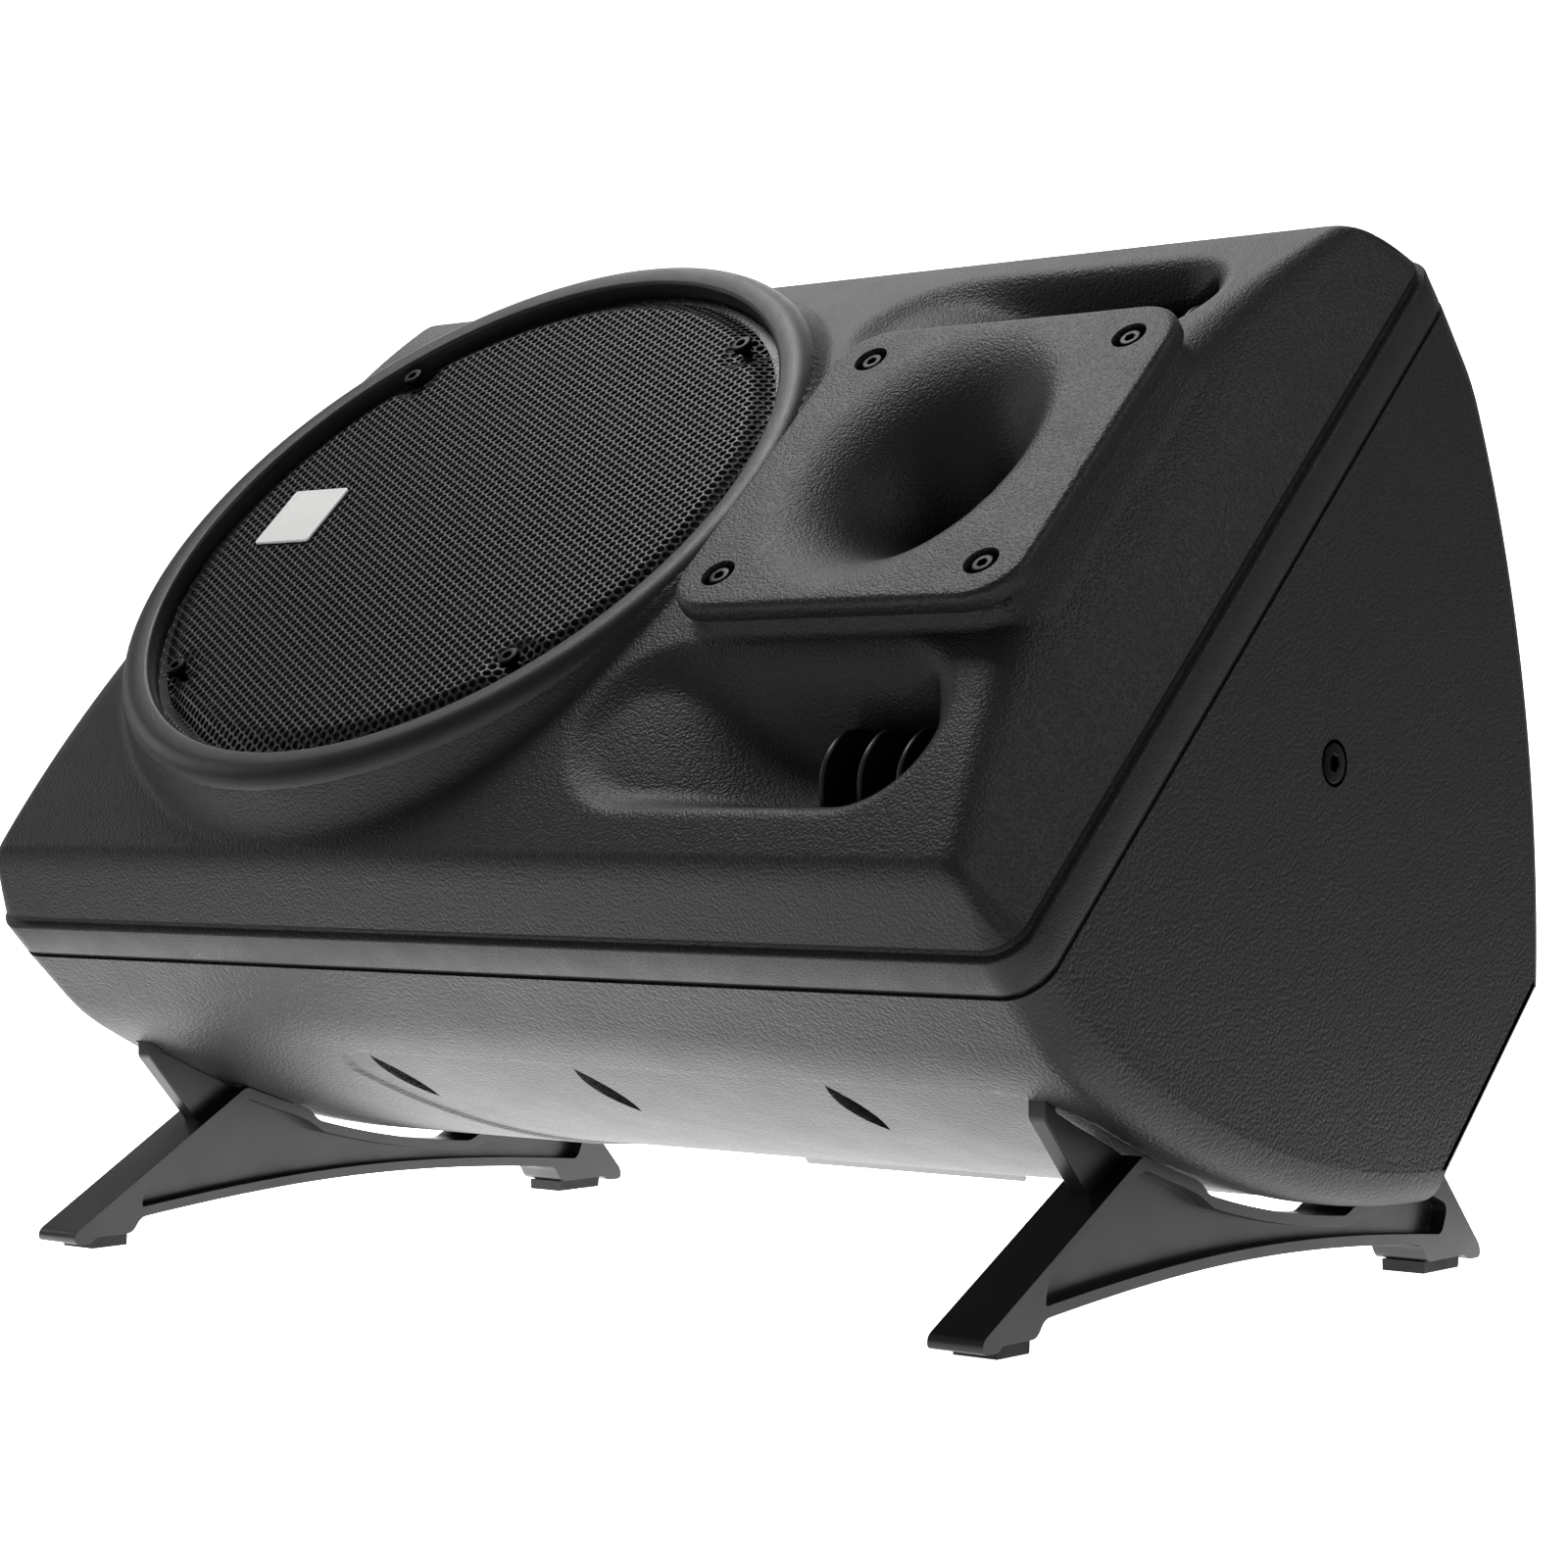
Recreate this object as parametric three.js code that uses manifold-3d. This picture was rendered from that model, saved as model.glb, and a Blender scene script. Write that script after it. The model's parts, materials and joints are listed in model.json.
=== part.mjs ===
// Stage monitor wedge: a two-shell moulded cabinet lying on two clip-on feet, baffle tilted upwards.
// Millimetres, +Z up. +X runs along the cabinet towards the horn, -Y is the side the baffle faces.
//
// The cabinet's own pieces are drawn in the cabinet frame: x along its length, y across the baffle
// (up the slope), z out of the baffle. There z = 0 is the seam between the two shells, and
// x = y = 0 is the woofer's axis. The feet are drawn standing on the floor.
import * as THREE from "three";
import { mergeVertices } from "three/addons/utils/BufferGeometryUtils.js";
import Module from "manifold-3d";

const wasm = await Module();
wasm.setup();

// ---------------------------------------------------------------- driving dimensions

const LEAN = 43.7; // degrees that the baffle is tipped back from lying flat
const GAP = 0.3; // clearance between pieces that touch
const FACETS = { rim: 48, round: 24, small: 10 }; // sides of a turned piece
const WALL = 5; // moulded shell
const FLOOR_CLEARANCE = 34; // under the lowest edge of the cabinet

const CABINET = {
  length: 562,
  halfWidth: 201, // across the baffle, at the seam
  leftOfWoofer: 188, // from the woofer's axis to the left end
  cornerRadius: 17,
  belt: 17, // upright band above the seam
  step: 3, // groove above the belt
  ridgeInset: 15, // from the belt in to the baffle's long edges
  ridgeHeight: 49, // of those edges above the seam
  crown: 76, // baffle's centre line above the seam
  seamGap: 2,
  skirt: 42, // upright band below the seam
  skirtInset: 2,
  depthBehind: 269, // from the seam to the back
  backHalfWidth: 60,
  bellySagitta: 17, // how far the curved sides stand off their chord
  ridgeLeftInset: 20,
  ridgeRightInset: 26,
  endRidgeDrop: 16, // the ends roll over this far below the crown
  endRoll: 19,
};

const RIM = { bore: 155, seatBore: 152, cutout: 134, outer: 172, top: 79.5, bottom: 45, round: 8 };
const SEAT = { woofer: 57, grille: 68.7 }; // heights of the rim's two inner ledges

const GRILLE = { radius: 153.7, thickness: 1.6, rise: 5, flat: 146 };
const BADGE = { length: 34, width: 36, thickness: 1.2, fromCentre: 101, off: 2.5 };

const M5 = { shank: 2.2, head: 4.75, headHeight: 3.2, socket: 1.9, socketDepth: 1.9 };
const M8 = { shank: 3.9, head: 8, headHeight: 4.4, socket: 3.1, socketDepth: 2.6 };
const HOLE_PLAY = 0.4; // radial, around a screw
const GRILLE_SCREWS = { spacing: 200, grip: 9 }; // grip is the length in the rim
const WOOFER_SCREWS = { circle: 142, grip: 7 };

const HORN = {
  x: 259,
  plateLength: 168,
  plateWidth: 172,
  corner: 22,
  pedestalInset: 4,
  pedestalTop: 78,
  gasket: 1.2,
  plate: 8.4,
  round: 3,
  mouthHalfLength: 50,
  mouthHalfWidth: 65,
  throat: 12.7,
  flare: 2.3, // exponent of the bell's curve
  depth: 78,
  bellWall: 3.5,
  bellPlayX: 7, // of the baffle's opening past the mouth
  bellPlayY: 3,
  screwX: 63.4,
  screwY: 66.1,
  counterbore: 7.5,
  counterboreDepth: 4.4,
  boss: 7,
  bossDepth: 26,
  screwLength: 14,
  flange: 38,
  flangeThickness: 6,
};
const DRIVER = {
  radius: 43,
  body: 32,
  chamfer: 5,
  base: 8,
  throatTaper: 2,
  capRadius: 38,
  cap: 18,
  capChamfer: 8,
};

const SCOOP = {
  left: 154,
  right: 316,
  inner: 96,
  outer: 155,
  corner: 26,
  mouth: 84, // height of the cutter's top, clear of the baffle
  floor: 30,
  ductLength: 62,
  wall: 4,
};
const DUCT = { length: 72, finThickness: 2.4, finPitch: 18, finTop: 52, finRoot: 12, play: 1 };

const WOOFER = {
  flange: 150,
  flangeThickness: 4,
  coneOuter: 112,
  coneDepth: 50,
  coneThickness: 2,
  coil: 38,
  coilWall: 1,
  coilLength: 40,
  frameTop: 131,
  frameBottom: 62,
  frameDepth: 84,
  frameWall: 3,
  windows: 6,
  windowInner: 40,
  windowWidth: 38,
  windowHeight: 46,
  magnet: 78,
  magnetFloor: 9,
  backPlate: 6,
  ringStep: 8,
  magnetDepth: 32,
  gapPlay: 0.8, // each side of the voice coil
  rollHeight: 7,
};

const BACK = {
  fromFoot: 2, // from the left foot's claw to the panel
  length: 378,
  halfWidth: 52,
  panel: 2,
  corner: 6,
  lip: 9, // of the panel over the shell
  screwInset: 5,
  screwLength: 7,
};
const HEATSINK = { fromLeft: 166, length: 127, halfWidth: 50, height: 18, base: 4, fins: 8, fin: 2.2 };
const SOCKET = {
  fromRight: 58,
  y: 24,
  bore: 11,
  cup: 12.6,
  depth: 14,
  base: 2,
  flange: 15,
  flangeThickness: 2,
};
const KNOB = { fromRight: 22, pitch: 30, radius: 8, height: 12, shaft: 3, grips: 10, shaftLength: 9 };
const INLET = {
  fromLeft: 26, // from the panel's end
  length: 24,
  width: 16,
  wall: 2,
  depth: 16,
  flange: 6,
  flangeThickness: 2.5,
  pin: 1.6,
  pinWidth: 4,
  pins: [[-7, -2], [0, 3], [7, -2]],
};
const ROCKER = {
  fromLeft: 66,
  length: 21,
  width: 12,
  frame: 3,
  flangeX: 5,
  flangeY: 4,
  play: 0.7,
  tilt: 8, // degrees
  thickness: 5,
};
const LAMP = { y: -28, radius: 2.5, proud: 1.5, length: 4 };
const TOROID = { fromLeft: 122, ring: 24, section: 13, foot: 8, raised: 4 };
const BOARD = {
  fromLeft: 168,
  length: 118,
  halfWidth: 38,
  thickness: 1.6,
  standOff: 16,
  post: 2.5,
  postInset: 5,
};
// Capacitors and coils on the board.
const BOARD_PARTS = [
  { along: 14, y: -20, radius: 9, height: 22 },
  { along: 36, y: -20, radius: 9, height: 22 },
  { along: 60, y: 14, radius: 12, height: 14 },
  { along: 90, y: -12, radius: 14, height: 10 },
];

const RIGGING = { depth: 77, recess: 9.5, recessDepth: 3.6, insert: 6, insertLength: 16, boss: 13 };
const LINING = { thickness: 14, length: 380, inset: 0.5 };

const FOOT = {
  thickness: 25,
  rightInset: 27, // from the cabinet's right end
  leftInset: 13,
  toeReach: 26, // ahead of the cabinet's lower crease
  heelReach: 75, // behind the cabinet's lowest edge
  hollowFrom: 17.4, // depth of the strut where the hollow beside the web begins
  tipLow: 3,
  tipHigh: 8,
  archHeight: 20,
  clearance: 0.5,
  relief: 4, // hollow between the two seats
  claw: 36, // up the back of the cabinet
  web: 11,
  flange: 4,
  hookThickness: 8,
  hookLength: 7,
  hookHeight: 6,
};
const HOOK_AT = 0.115; // share of the belly's curve from the crease
const ELBOW_AT = 0.31;
const PAD = { width: 20, height: 5, front: 20, rear: 30, ribs: 5, rib: 1.2 };
const SLOTS = { xs: [-21, 98, 230], length: 46, width: 8, depth: 7, from: 0.12, boss: 4 };

// ---------------------------------------------------------------- values worked out from them

const LEFT = -CABINET.leftOfWoofer;
const RIGHT = LEFT + CABINET.length;
const MIDDLE = (LEFT + RIGHT) / 2;
const BACK_Z = -CABINET.depthBehind;
const LEAN_RAD = THREE.MathUtils.degToRad(LEAN);
const CREASE = [-(CABINET.halfWidth - CABINET.skirtInset), -CABINET.skirt];
const BACK_EDGE = [-CABINET.backHalfWidth, BACK_Z];
const CENTRE_HEIGHT =
  FLOOR_CLEARANCE - BACK_EDGE[0] * Math.sin(LEAN_RAD) - BACK_EDGE[1] * Math.cos(LEAN_RAD);
const PLATE_BOTTOM = HORN.pedestalTop + 2 * GAP + HORN.gasket;
const PLATE_TOP = PLATE_BOTTOM + HORN.plate;
const THROAT_Z = PLATE_TOP - HORN.depth;
const PANEL_LEFT = LEFT + FOOT.leftInset + FOOT.thickness + BACK.fromFoot;
const PANEL_RIGHT = PANEL_LEFT + BACK.length;
const INLET_X = PANEL_LEFT + INLET.fromLeft;
const ROCKER_X = PANEL_LEFT + ROCKER.fromLeft;
const TOROID_X = PANEL_LEFT + TOROID.fromLeft;
const SOCKET_X = PANEL_RIGHT - SOCKET.fromRight;
const KNOB_X = PANEL_RIGHT - KNOB.fromRight;

// ---------------------------------------------------------------- materials

const plastic = { color: 0x151515, roughness: 0.62, metalness: 0 };
const smoothPlastic = { color: 0x101011, roughness: 0.42, metalness: 0 };
const blackSteel = { color: 0x0b0b0c, roughness: 0.38, metalness: 0.6 };
const zincSteel = { color: 0x9a9ca0, roughness: 0.35, metalness: 1 };
const aluminium = { color: 0xb9bbbe, roughness: 0.38, metalness: 1 };
const rubber = { color: 0x0c0c0c, roughness: 0.9, metalness: 0 };
const foam = { color: 0x1c1c1d, roughness: 1, metalness: 0 };
const paper = { color: 0x17171a, roughness: 0.85, metalness: 0 };
const ferrite = { color: 0x2a2a2d, roughness: 0.7, metalness: 0.2 };
const copper = { color: 0xa8663a, roughness: 0.4, metalness: 1 };
const boardGreen = { color: 0x14452b, roughness: 0.55, metalness: 0 };
const whiteLabel = { color: 0xe8e8e6, roughness: 0.4, metalness: 0 };
const brass = { color: 0xb08d4a, roughness: 0.35, metalness: 1 };
const lamp = { color: 0x1f8f3a, roughness: 0.25, metalness: 0 };

// ---------------------------------------------------------------- solids

// A closed geometry as a solid that can be joined and cut.
function solid(geometry) {
  const bare = geometry.clone();
  bare.deleteAttribute("normal");
  bare.deleteAttribute("uv");
  const merged = mergeVertices(bare, 1e-4);
  return new wasm.Manifold(
    new wasm.Mesh({
      numProp: 3,
      vertProperties: merged.attributes.position.array,
      triVerts: new Uint32Array(merged.index.array),
    }),
  );
}

function geometryOf(body) {
  const mesh = body.getMesh();
  const geometry = new THREE.BufferGeometry();
  geometry.setAttribute("position", new THREE.BufferAttribute(mesh.vertProperties, 3));
  geometry.setIndex(new THREE.BufferAttribute(mesh.triVerts, 1));
  geometry.computeVertexNormals();
  return geometry;
}

const join = (first, ...others) => others.reduce((sum, other) => sum.add(other), first);
const cut = (first, ...others) => others.reduce((rest, other) => rest.subtract(other), first);

// ---------------------------------------------------------------- outlines
// An outline is a list of [a, b] points, anticlockwise.

const mirrored = (points) => points.map(([a, b]) => [-a, b]).reverse();

// Points of the arc from one point to another that stands off its chord, on the right of the way.
function arc(from, to, sagitta, segments) {
  const half = Math.hypot(to[0] - from[0], to[1] - from[1]) / 2;
  const radius = (half * half + sagitta * sagitta) / (2 * sagitta);
  const along = [(to[0] - from[0]) / (2 * half), (to[1] - from[1]) / (2 * half)];
  const out = [along[1], -along[0]];
  const sweep = Math.asin(Math.min(1, half / radius));
  const centre = [
    (from[0] + to[0]) / 2 - out[0] * (radius - sagitta),
    (from[1] + to[1]) / 2 - out[1] * (radius - sagitta),
  ];
  return Array.from({ length: segments + 1 }, (_, i) => {
    const angle = sweep * ((2 * i) / segments - 1);
    const run = radius * Math.sin(angle);
    const off = radius * Math.cos(angle);
    return [centre[0] + along[0] * run + out[0] * off, centre[1] + along[1] * run + out[1] * off];
  });
}

// The outline moved in by a distance, or out by a negative one, with mitred corners.
function inset(points, distance) {
  const normals = points.map(([a, b], i) => {
    const [c, d] = points[(i + 1) % points.length];
    const length = Math.hypot(c - a, d - b);
    return [(b - d) / length, (c - a) / length];
  });
  return points.map(([a, b], i) => {
    const [n, m] = [normals[(i + points.length - 1) % points.length], normals[i]];
    const scale = distance / (1 + n[0] * m[0] + n[1] * m[1]);
    return [a + (n[0] + m[0]) * scale, b + (n[1] + m[1]) * scale];
  });
}

function roundedBox(left, right, low, high, radius, segments = 3) {
  const corners = [
    [right - radius, low + radius, -90],
    [right - radius, high - radius, 0],
    [left + radius, high - radius, 90],
    [left + radius, low + radius, 180],
  ];
  return corners.flatMap(([a, b, start]) =>
    Array.from({ length: segments + 1 }, (_, i) => {
      const angle = THREE.MathUtils.degToRad(start + (90 * i) / segments);
      return [a + radius * Math.cos(angle), b + radius * Math.sin(angle)];
    }),
  );
}

function ellipse(x, y, halfX, halfY, segments) {
  return Array.from({ length: segments }, (_, i) => {
    const angle = (2 * Math.PI * i) / segments;
    return [x + halfX * Math.cos(angle), y + halfY * Math.sin(angle)];
  });
}

// ---------------------------------------------------------------- geometries

// An outline swept from a low to a high level, its two ends rounded.
function prism(points, low, high, round = 0, roundSteps = 3) {
  const shape = new THREE.Shape(points.map(([a, b]) => new THREE.Vector2(a, b)));
  const geometry = new THREE.ExtrudeGeometry(shape, {
    depth: high - low - 2 * round,
    steps: 1,
    bevelEnabled: round > 0,
    bevelThickness: round,
    bevelSize: round,
    bevelOffset: -round,
    bevelSegments: roundSteps,
  });
  return geometry.translate(0, 0, low + round);
}

// The same with the outline in the y-z plane, swept along x.
function prismAlongX(points, low, high, round = 0, roundSteps = 3) {
  const turn = new THREE.Matrix4().makeBasis(
    new THREE.Vector3(0, 1, 0),
    new THREE.Vector3(0, 0, 1),
    new THREE.Vector3(1, 0, 0),
  );
  return prism(points, low, high, round, roundSteps).applyMatrix4(turn);
}

// The same with the outline in the x-z plane, swept evenly to both sides of y = 0.
function prismAcross(points, halfWidth) {
  return prism(points, -halfWidth, halfWidth).rotateX(Math.PI / 2);
}

// A closed [radius, height] profile turned about the z axis. The profile runs anticlockwise.
function turned(profile, segments = FACETS.round) {
  const points = [...profile, profile[0]].map(([r, z]) => new THREE.Vector2(r, z));
  return new THREE.LatheGeometry(points, segments).rotateX(Math.PI / 2);
}

const disc = (radius, low, high, segments = FACETS.round) =>
  turned([[0, low], [radius, low], [radius, high], [0, high]], segments);

const block = (left, right, front, rear, low, high) =>
  new THREE.BoxGeometry(right - left, rear - front, high - low).translate(
    (left + right) / 2,
    (front + rear) / 2,
    (low + high) / 2,
  );

// A skin through outlines of equal point count at rising heights, closed at both ends.
function loft(rings) {
  const count = rings[0].points.length;
  const position = rings.flatMap(({ points, z }) => points.flatMap(([a, b]) => [a, b, z]));
  const index = [];
  for (let r = 0; r + 1 < rings.length; r++) {
    for (let i = 0; i < count; i++) {
      const [low, lowNext] = [r * count + i, r * count + ((i + 1) % count)];
      index.push(low, lowNext, lowNext + count, low, lowNext + count, low + count);
    }
  }
  const last = (rings.length - 1) * count;
  const faces = THREE.ShapeUtils.triangulateShape(
    rings[0].points.map(([a, b]) => new THREE.Vector2(a, b)),
    [],
  );
  faces.forEach(([a, b, c]) => index.push(c, b, a, last + a, last + b, last + c));
  const geometry = new THREE.BufferGeometry();
  geometry.setAttribute("position", new THREE.Float32BufferAttribute(position, 3));
  geometry.setIndex(index);
  return geometry;
}

// A screw hanging from z = 0 under its head, with a hexagon socket in the head's top.
function screw(size, length) {
  const { shank, head, headHeight, socket, socketDepth } = size;
  const body = turned(
    [
      [0, -length],
      [shank, -length],
      [shank, 0],
      [head, 0],
      [head, headHeight * 0.45],
      [head * 0.8, headHeight],
      [0, headHeight],
    ],
    FACETS.small,
  );
  const key = disc(socket, headHeight - socketDepth, headHeight + 1, 6);
  return geometryOf(cut(solid(body), solid(key)));
}

// ---------------------------------------------------------------- scene graph

const wedge = new THREE.Group();
const cabinet = new THREE.Group();
cabinet.rotation.x = LEAN_RAD;
cabinet.position.z = CENTRE_HEIGHT;
const stand = new THREE.Group();
wedge.add(cabinet, stand);

function add(parent, name, geometry, look, x = 0, y = 0, z = 0) {
  const mesh = new THREE.Mesh(geometry, new THREE.MeshStandardMaterial(look));
  mesh.name = name;
  mesh.position.set(x, y, z);
  parent.add(mesh);
  return mesh;
}

const inCabinet = (name, geometry, look, x, y, z) => add(cabinet, name, geometry, look, x, y, z);

// ---------------------------------------------------------------- shells

// Baffle, slanted band and belt, seen along the cabinet.
function frontSection() {
  const { halfWidth, belt, step, ridgeInset, ridgeHeight, crown } = CABINET;
  const ridge = halfWidth - ridgeInset;
  const rightSide = [
    [halfWidth, 0],
    [halfWidth, belt],
    [halfWidth - step, belt + step],
  ];
  const baffle = arc([ridge, ridgeHeight], [-ridge, ridgeHeight], crown - ridgeHeight, 10);
  return [...rightSide, ...baffle, ...mirrored(rightSide)];
}

// The ends of the same shell, seen across the cabinet. It runs on above the crown.
function frontLengthSection() {
  const { belt, step, ridgeLeftInset, ridgeRightInset, crown, endRidgeDrop, endRoll } = CABINET;
  const over = crown + endRoll;
  return [
    [LEFT, 0],
    [RIGHT, 0],
    [RIGHT, belt],
    [RIGHT - step, belt + step],
    [RIGHT - ridgeRightInset, crown - endRidgeDrop],
    [RIGHT - ridgeRightInset - endRoll, crown],
    [RIGHT - ridgeRightInset - 2 * endRoll, over],
    [LEFT + ridgeLeftInset + endRoll, over],
    [LEFT + ridgeLeftInset, crown - endRidgeDrop],
    [LEFT + step, belt + step],
    [LEFT, belt],
  ];
}

const planOutline = (distance) =>
  inset(
    roundedBox(LEFT, RIGHT, -CABINET.halfWidth, CABINET.halfWidth, CABINET.cornerRadius),
    distance,
  );

function frontBlank(distance, below) {
  const section = inset(frontSection(), distance).map(([y, z]) => [y, Math.max(z, 0)]);
  const lowered = (points) => points.map(([a, b]) => [a, b <= distance + 0.01 ? -below : b]);
  const lengthwise = inset(frontLengthSection(), distance);
  const along = solid(prismAlongX(lowered(section), LEFT, RIGHT));
  const across = solid(prismAcross(lowered(lengthwise), CABINET.halfWidth));
  const plan = solid(prism(planOutline(distance), -below, CABINET.crown + CABINET.endRoll));
  return along.intersect(across).intersect(plan);
}

// The rim around the grille, with a seat for the woofer's flange and one for the grille.
function rimProfile() {
  const { bore, seatBore, cutout, outer, top, bottom, round } = RIM;
  return [
    [cutout, bottom],
    [outer, bottom],
    [outer, top - round],
    [outer - 0.3 * round, top - 0.3 * round],
    [outer - round, top],
    [bore + 2, top],
    [bore, top - 2],
    [bore, SEAT.grille],
    [seatBore, SEAT.grille],
    [seatBore, SEAT.woofer],
    [cutout, SEAT.woofer],
  ];
}

// One reflex scoop: an even slope from the woofer's side down to the duct's mouth.
function scoopRings(side, extra) {
  const { left, right, inner, outer, corner, mouth, floor, ductLength } = SCOOP;
  const steps = 4;
  const rings = [];
  for (let i = 0; i <= steps; i++) {
    const share = i / steps;
    const start = right - ductLength + (left - right + ductLength) * share ** 1.6;
    const round = (corner - 8) * share + 8;
    const outline = roundedBox(start - extra, right + extra, inner - extra, outer + extra, round, 3);
    const placed = side > 0 ? outline : outline.map(([x, y]) => [x, -y]).reverse();
    rings.push({ points: placed, z: floor + (mouth - floor) * share });
  }
  return rings;
}

const scoopCutter = (side) => {
  const rings = scoopRings(side, 0);
  rings[0] = { ...rings[0], z: rings[0].z - 2 * SCOOP.wall };
  return solid(loft(rings));
};

function scoopShell(side) {
  const rings = scoopRings(side, SCOOP.wall);
  rings[0] = { ...rings[0], z: rings[0].z - SCOOP.wall };
  return solid(loft(rings));
}

const grilleScrewSpots = () => {
  const half = GRILLE_SCREWS.spacing / 2;
  return [[half, half], [-half, half], [-half, -half], [half, -half]];
};
const wooferScrewSpots = () =>
  [0, 90, 180, 270].map((degrees) => {
    const angle = THREE.MathUtils.degToRad(degrees);
    return [WOOFER_SCREWS.circle * Math.cos(angle), WOOFER_SCREWS.circle * Math.sin(angle)];
  });
const hornScrewSpots = () =>
  [[1, 1], [-1, 1], [-1, -1], [1, -1]].map(([i, j]) => [HORN.x + i * HORN.screwX, j * HORN.screwY]);

const holes = (spots, radius, low, high, segments = FACETS.small) =>
  spots.map(([x, y]) => solid(disc(radius, low, high, segments).translate(x, y, 0)));

// The opening in the baffle that the horn's bell drops through.
const bellHole = () =>
  ellipse(
    HORN.x,
    0,
    HORN.mouthHalfLength + HORN.bellPlayX,
    HORN.mouthHalfWidth + HORN.bellPlayY,
    FACETS.round,
  );

function hornOutline(distance) {
  const [halfLength, halfWidth] = [HORN.plateLength / 2, HORN.plateWidth / 2];
  const left = HORN.x - halfLength;
  const right = HORN.x + halfLength;
  return inset(roundedBox(left, right, -halfWidth, halfWidth, HORN.corner), distance);
}

function frontShell() {
  const { pedestalTop, pedestalInset, boss, bossDepth, screwLength } = HORN;
  const hollow = cut(frontBlank(WALL, 1), scoopShell(1), scoopShell(-1));
  const pedestal = solid(prism(hornOutline(pedestalInset), CABINET.ridgeHeight, pedestalTop));
  const bosses = holes(hornScrewSpots(), boss, pedestalTop - bossDepth, pedestalTop);
  const over = RIM.top + 20;
  const screwHole = M5.shank + HOLE_PLAY;
  const baffle = cut(
    join(cut(join(frontBlank(0, 0), pedestal), hollow), ...bosses),
    solid(disc(RIM.bore, SEAT.woofer, over, FACETS.rim)),
    solid(disc(RIM.cutout, 0, over, FACETS.rim)),
    scoopCutter(1),
    scoopCutter(-1),
    solid(prism(bellHole(), 0, over)),
  );
  return cut(
    join(baffle, solid(turned(rimProfile(), FACETS.rim))),
    ...holes(hornScrewSpots(), screwHole, pedestalTop - screwLength, over),
    ...holes(grilleScrewSpots(), screwHole, RIM.bottom + 1, over),
    ...holes(wooferScrewSpots(), screwHole, RIM.bottom + 1, over),
  );
}

// The cabinet behind the seam, seen along its length.
function rearSection(top) {
  const { halfWidth, bellySagitta } = CABINET;
  const leftSide = [[-halfWidth, top], ...arc(CREASE, BACK_EDGE, bellySagitta, 7)];
  return [...leftSide, ...mirrored(leftSide)];
}

function rearBlank(distance, top) {
  const rise = CABINET.cornerRadius + distance;
  const section = inset(rearSection(rise), distance);
  const round = CABINET.cornerRadius - distance;
  const whole = solid(prismAlongX(section, LEFT + distance, RIGHT - distance, round));
  const { halfWidth } = CABINET;
  const lid = solid(block(LEFT, RIGHT, -halfWidth - 1, halfWidth + 1, top, rise + CABINET.crown));
  return whole.subtract(lid);
}

// A point on the lower belly, as a share of its curve from the crease to the back edge.
function bellyPoint(share, off = 0) {
  const steps = 100;
  const points = arc(CREASE, BACK_EDGE, CABINET.bellySagitta, steps);
  const i = Math.min(steps - 1, Math.floor(share * steps));
  const [from, to] = [points[i], points[i + 1]];
  const rest = share * steps - i;
  const length = Math.hypot(to[0] - from[0], to[1] - from[1]);
  const out = [(to[1] - from[1]) / length, -(to[0] - from[0]) / length];
  return [
    from[0] + (to[0] - from[0]) * rest + out[0] * off,
    from[1] + (to[1] - from[1]) * rest + out[1] * off,
  ];
}

// From the cabinet frame's y and z to the floor's: [distance along Y, height].
function toFloor([y, z]) {
  const [sin, cos] = [Math.sin(LEAN_RAD), Math.cos(LEAN_RAD)];
  return [y * cos - z * sin, CENTRE_HEIGHT + y * sin + z * cos];
}

const footPlaces = () => [
  { name: "foot_right", x: RIGHT - FOOT.rightInset - FOOT.thickness / 2 },
  { name: "foot_left", x: LEFT + FOOT.leftInset + FOOT.thickness / 2 },
];

// An upright pocket for a foot's hook, and the thicker wall around it.
function hookPocket(x, grow) {
  const [y, z] = bellyPoint(HOOK_AT);
  const halfX = FOOT.hookThickness / 2 + 1 + grow;
  const halfY = FOOT.hookLength / 2 + 1 + grow;
  const up = FOOT.hookHeight + 2 + grow;
  return solid(block(-halfX, halfX, -halfY, halfY, -12, up).rotateX(-LEAN_RAD).translate(x, y, z));
}

// A slim pocket along the belly, pointed at both ends.
function bellySlot(x, grow) {
  const share = SLOTS.length / 270;
  const [from, to] = [bellyPoint(SLOTS.from), bellyPoint(SLOTS.from + share)];
  const middle = bellyPoint(SLOTS.from + share / 2);
  const half = SLOTS.length / 2 + grow;
  const lens = arc([-half, 0], [half, 0], SLOTS.width / 2 + grow, 4).slice(0, -1);
  const outline = [...lens, ...lens.map(([a, b]) => [-a, -b])];
  const angle = Math.atan2(to[1] - from[1], to[0] - from[0]);
  return solid(
    prism(outline, -SLOTS.depth - grow, 12)
      .applyMatrix4(
        new THREE.Matrix4().makeBasis(
          new THREE.Vector3(0, Math.cos(angle), Math.sin(angle)),
          new THREE.Vector3(1, 0, 0),
          new THREE.Vector3(0, Math.sin(angle), -Math.cos(angle)),
        ),
      )
      .translate(x, ...middle),
  );
}

// A disc lying along x, from one x to another.
const axleAlongX = (radius, from, to, segments = 24) =>
  disc(radius, Math.min(from, to), Math.max(from, to), segments)
    .rotateY(Math.PI / 2)
    .translate(0, 0, -RIGGING.depth);

const ends = () => [
  { side: "right", x: RIGHT, out: 1 },
  { side: "left", x: LEFT, out: -1 },
];

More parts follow.
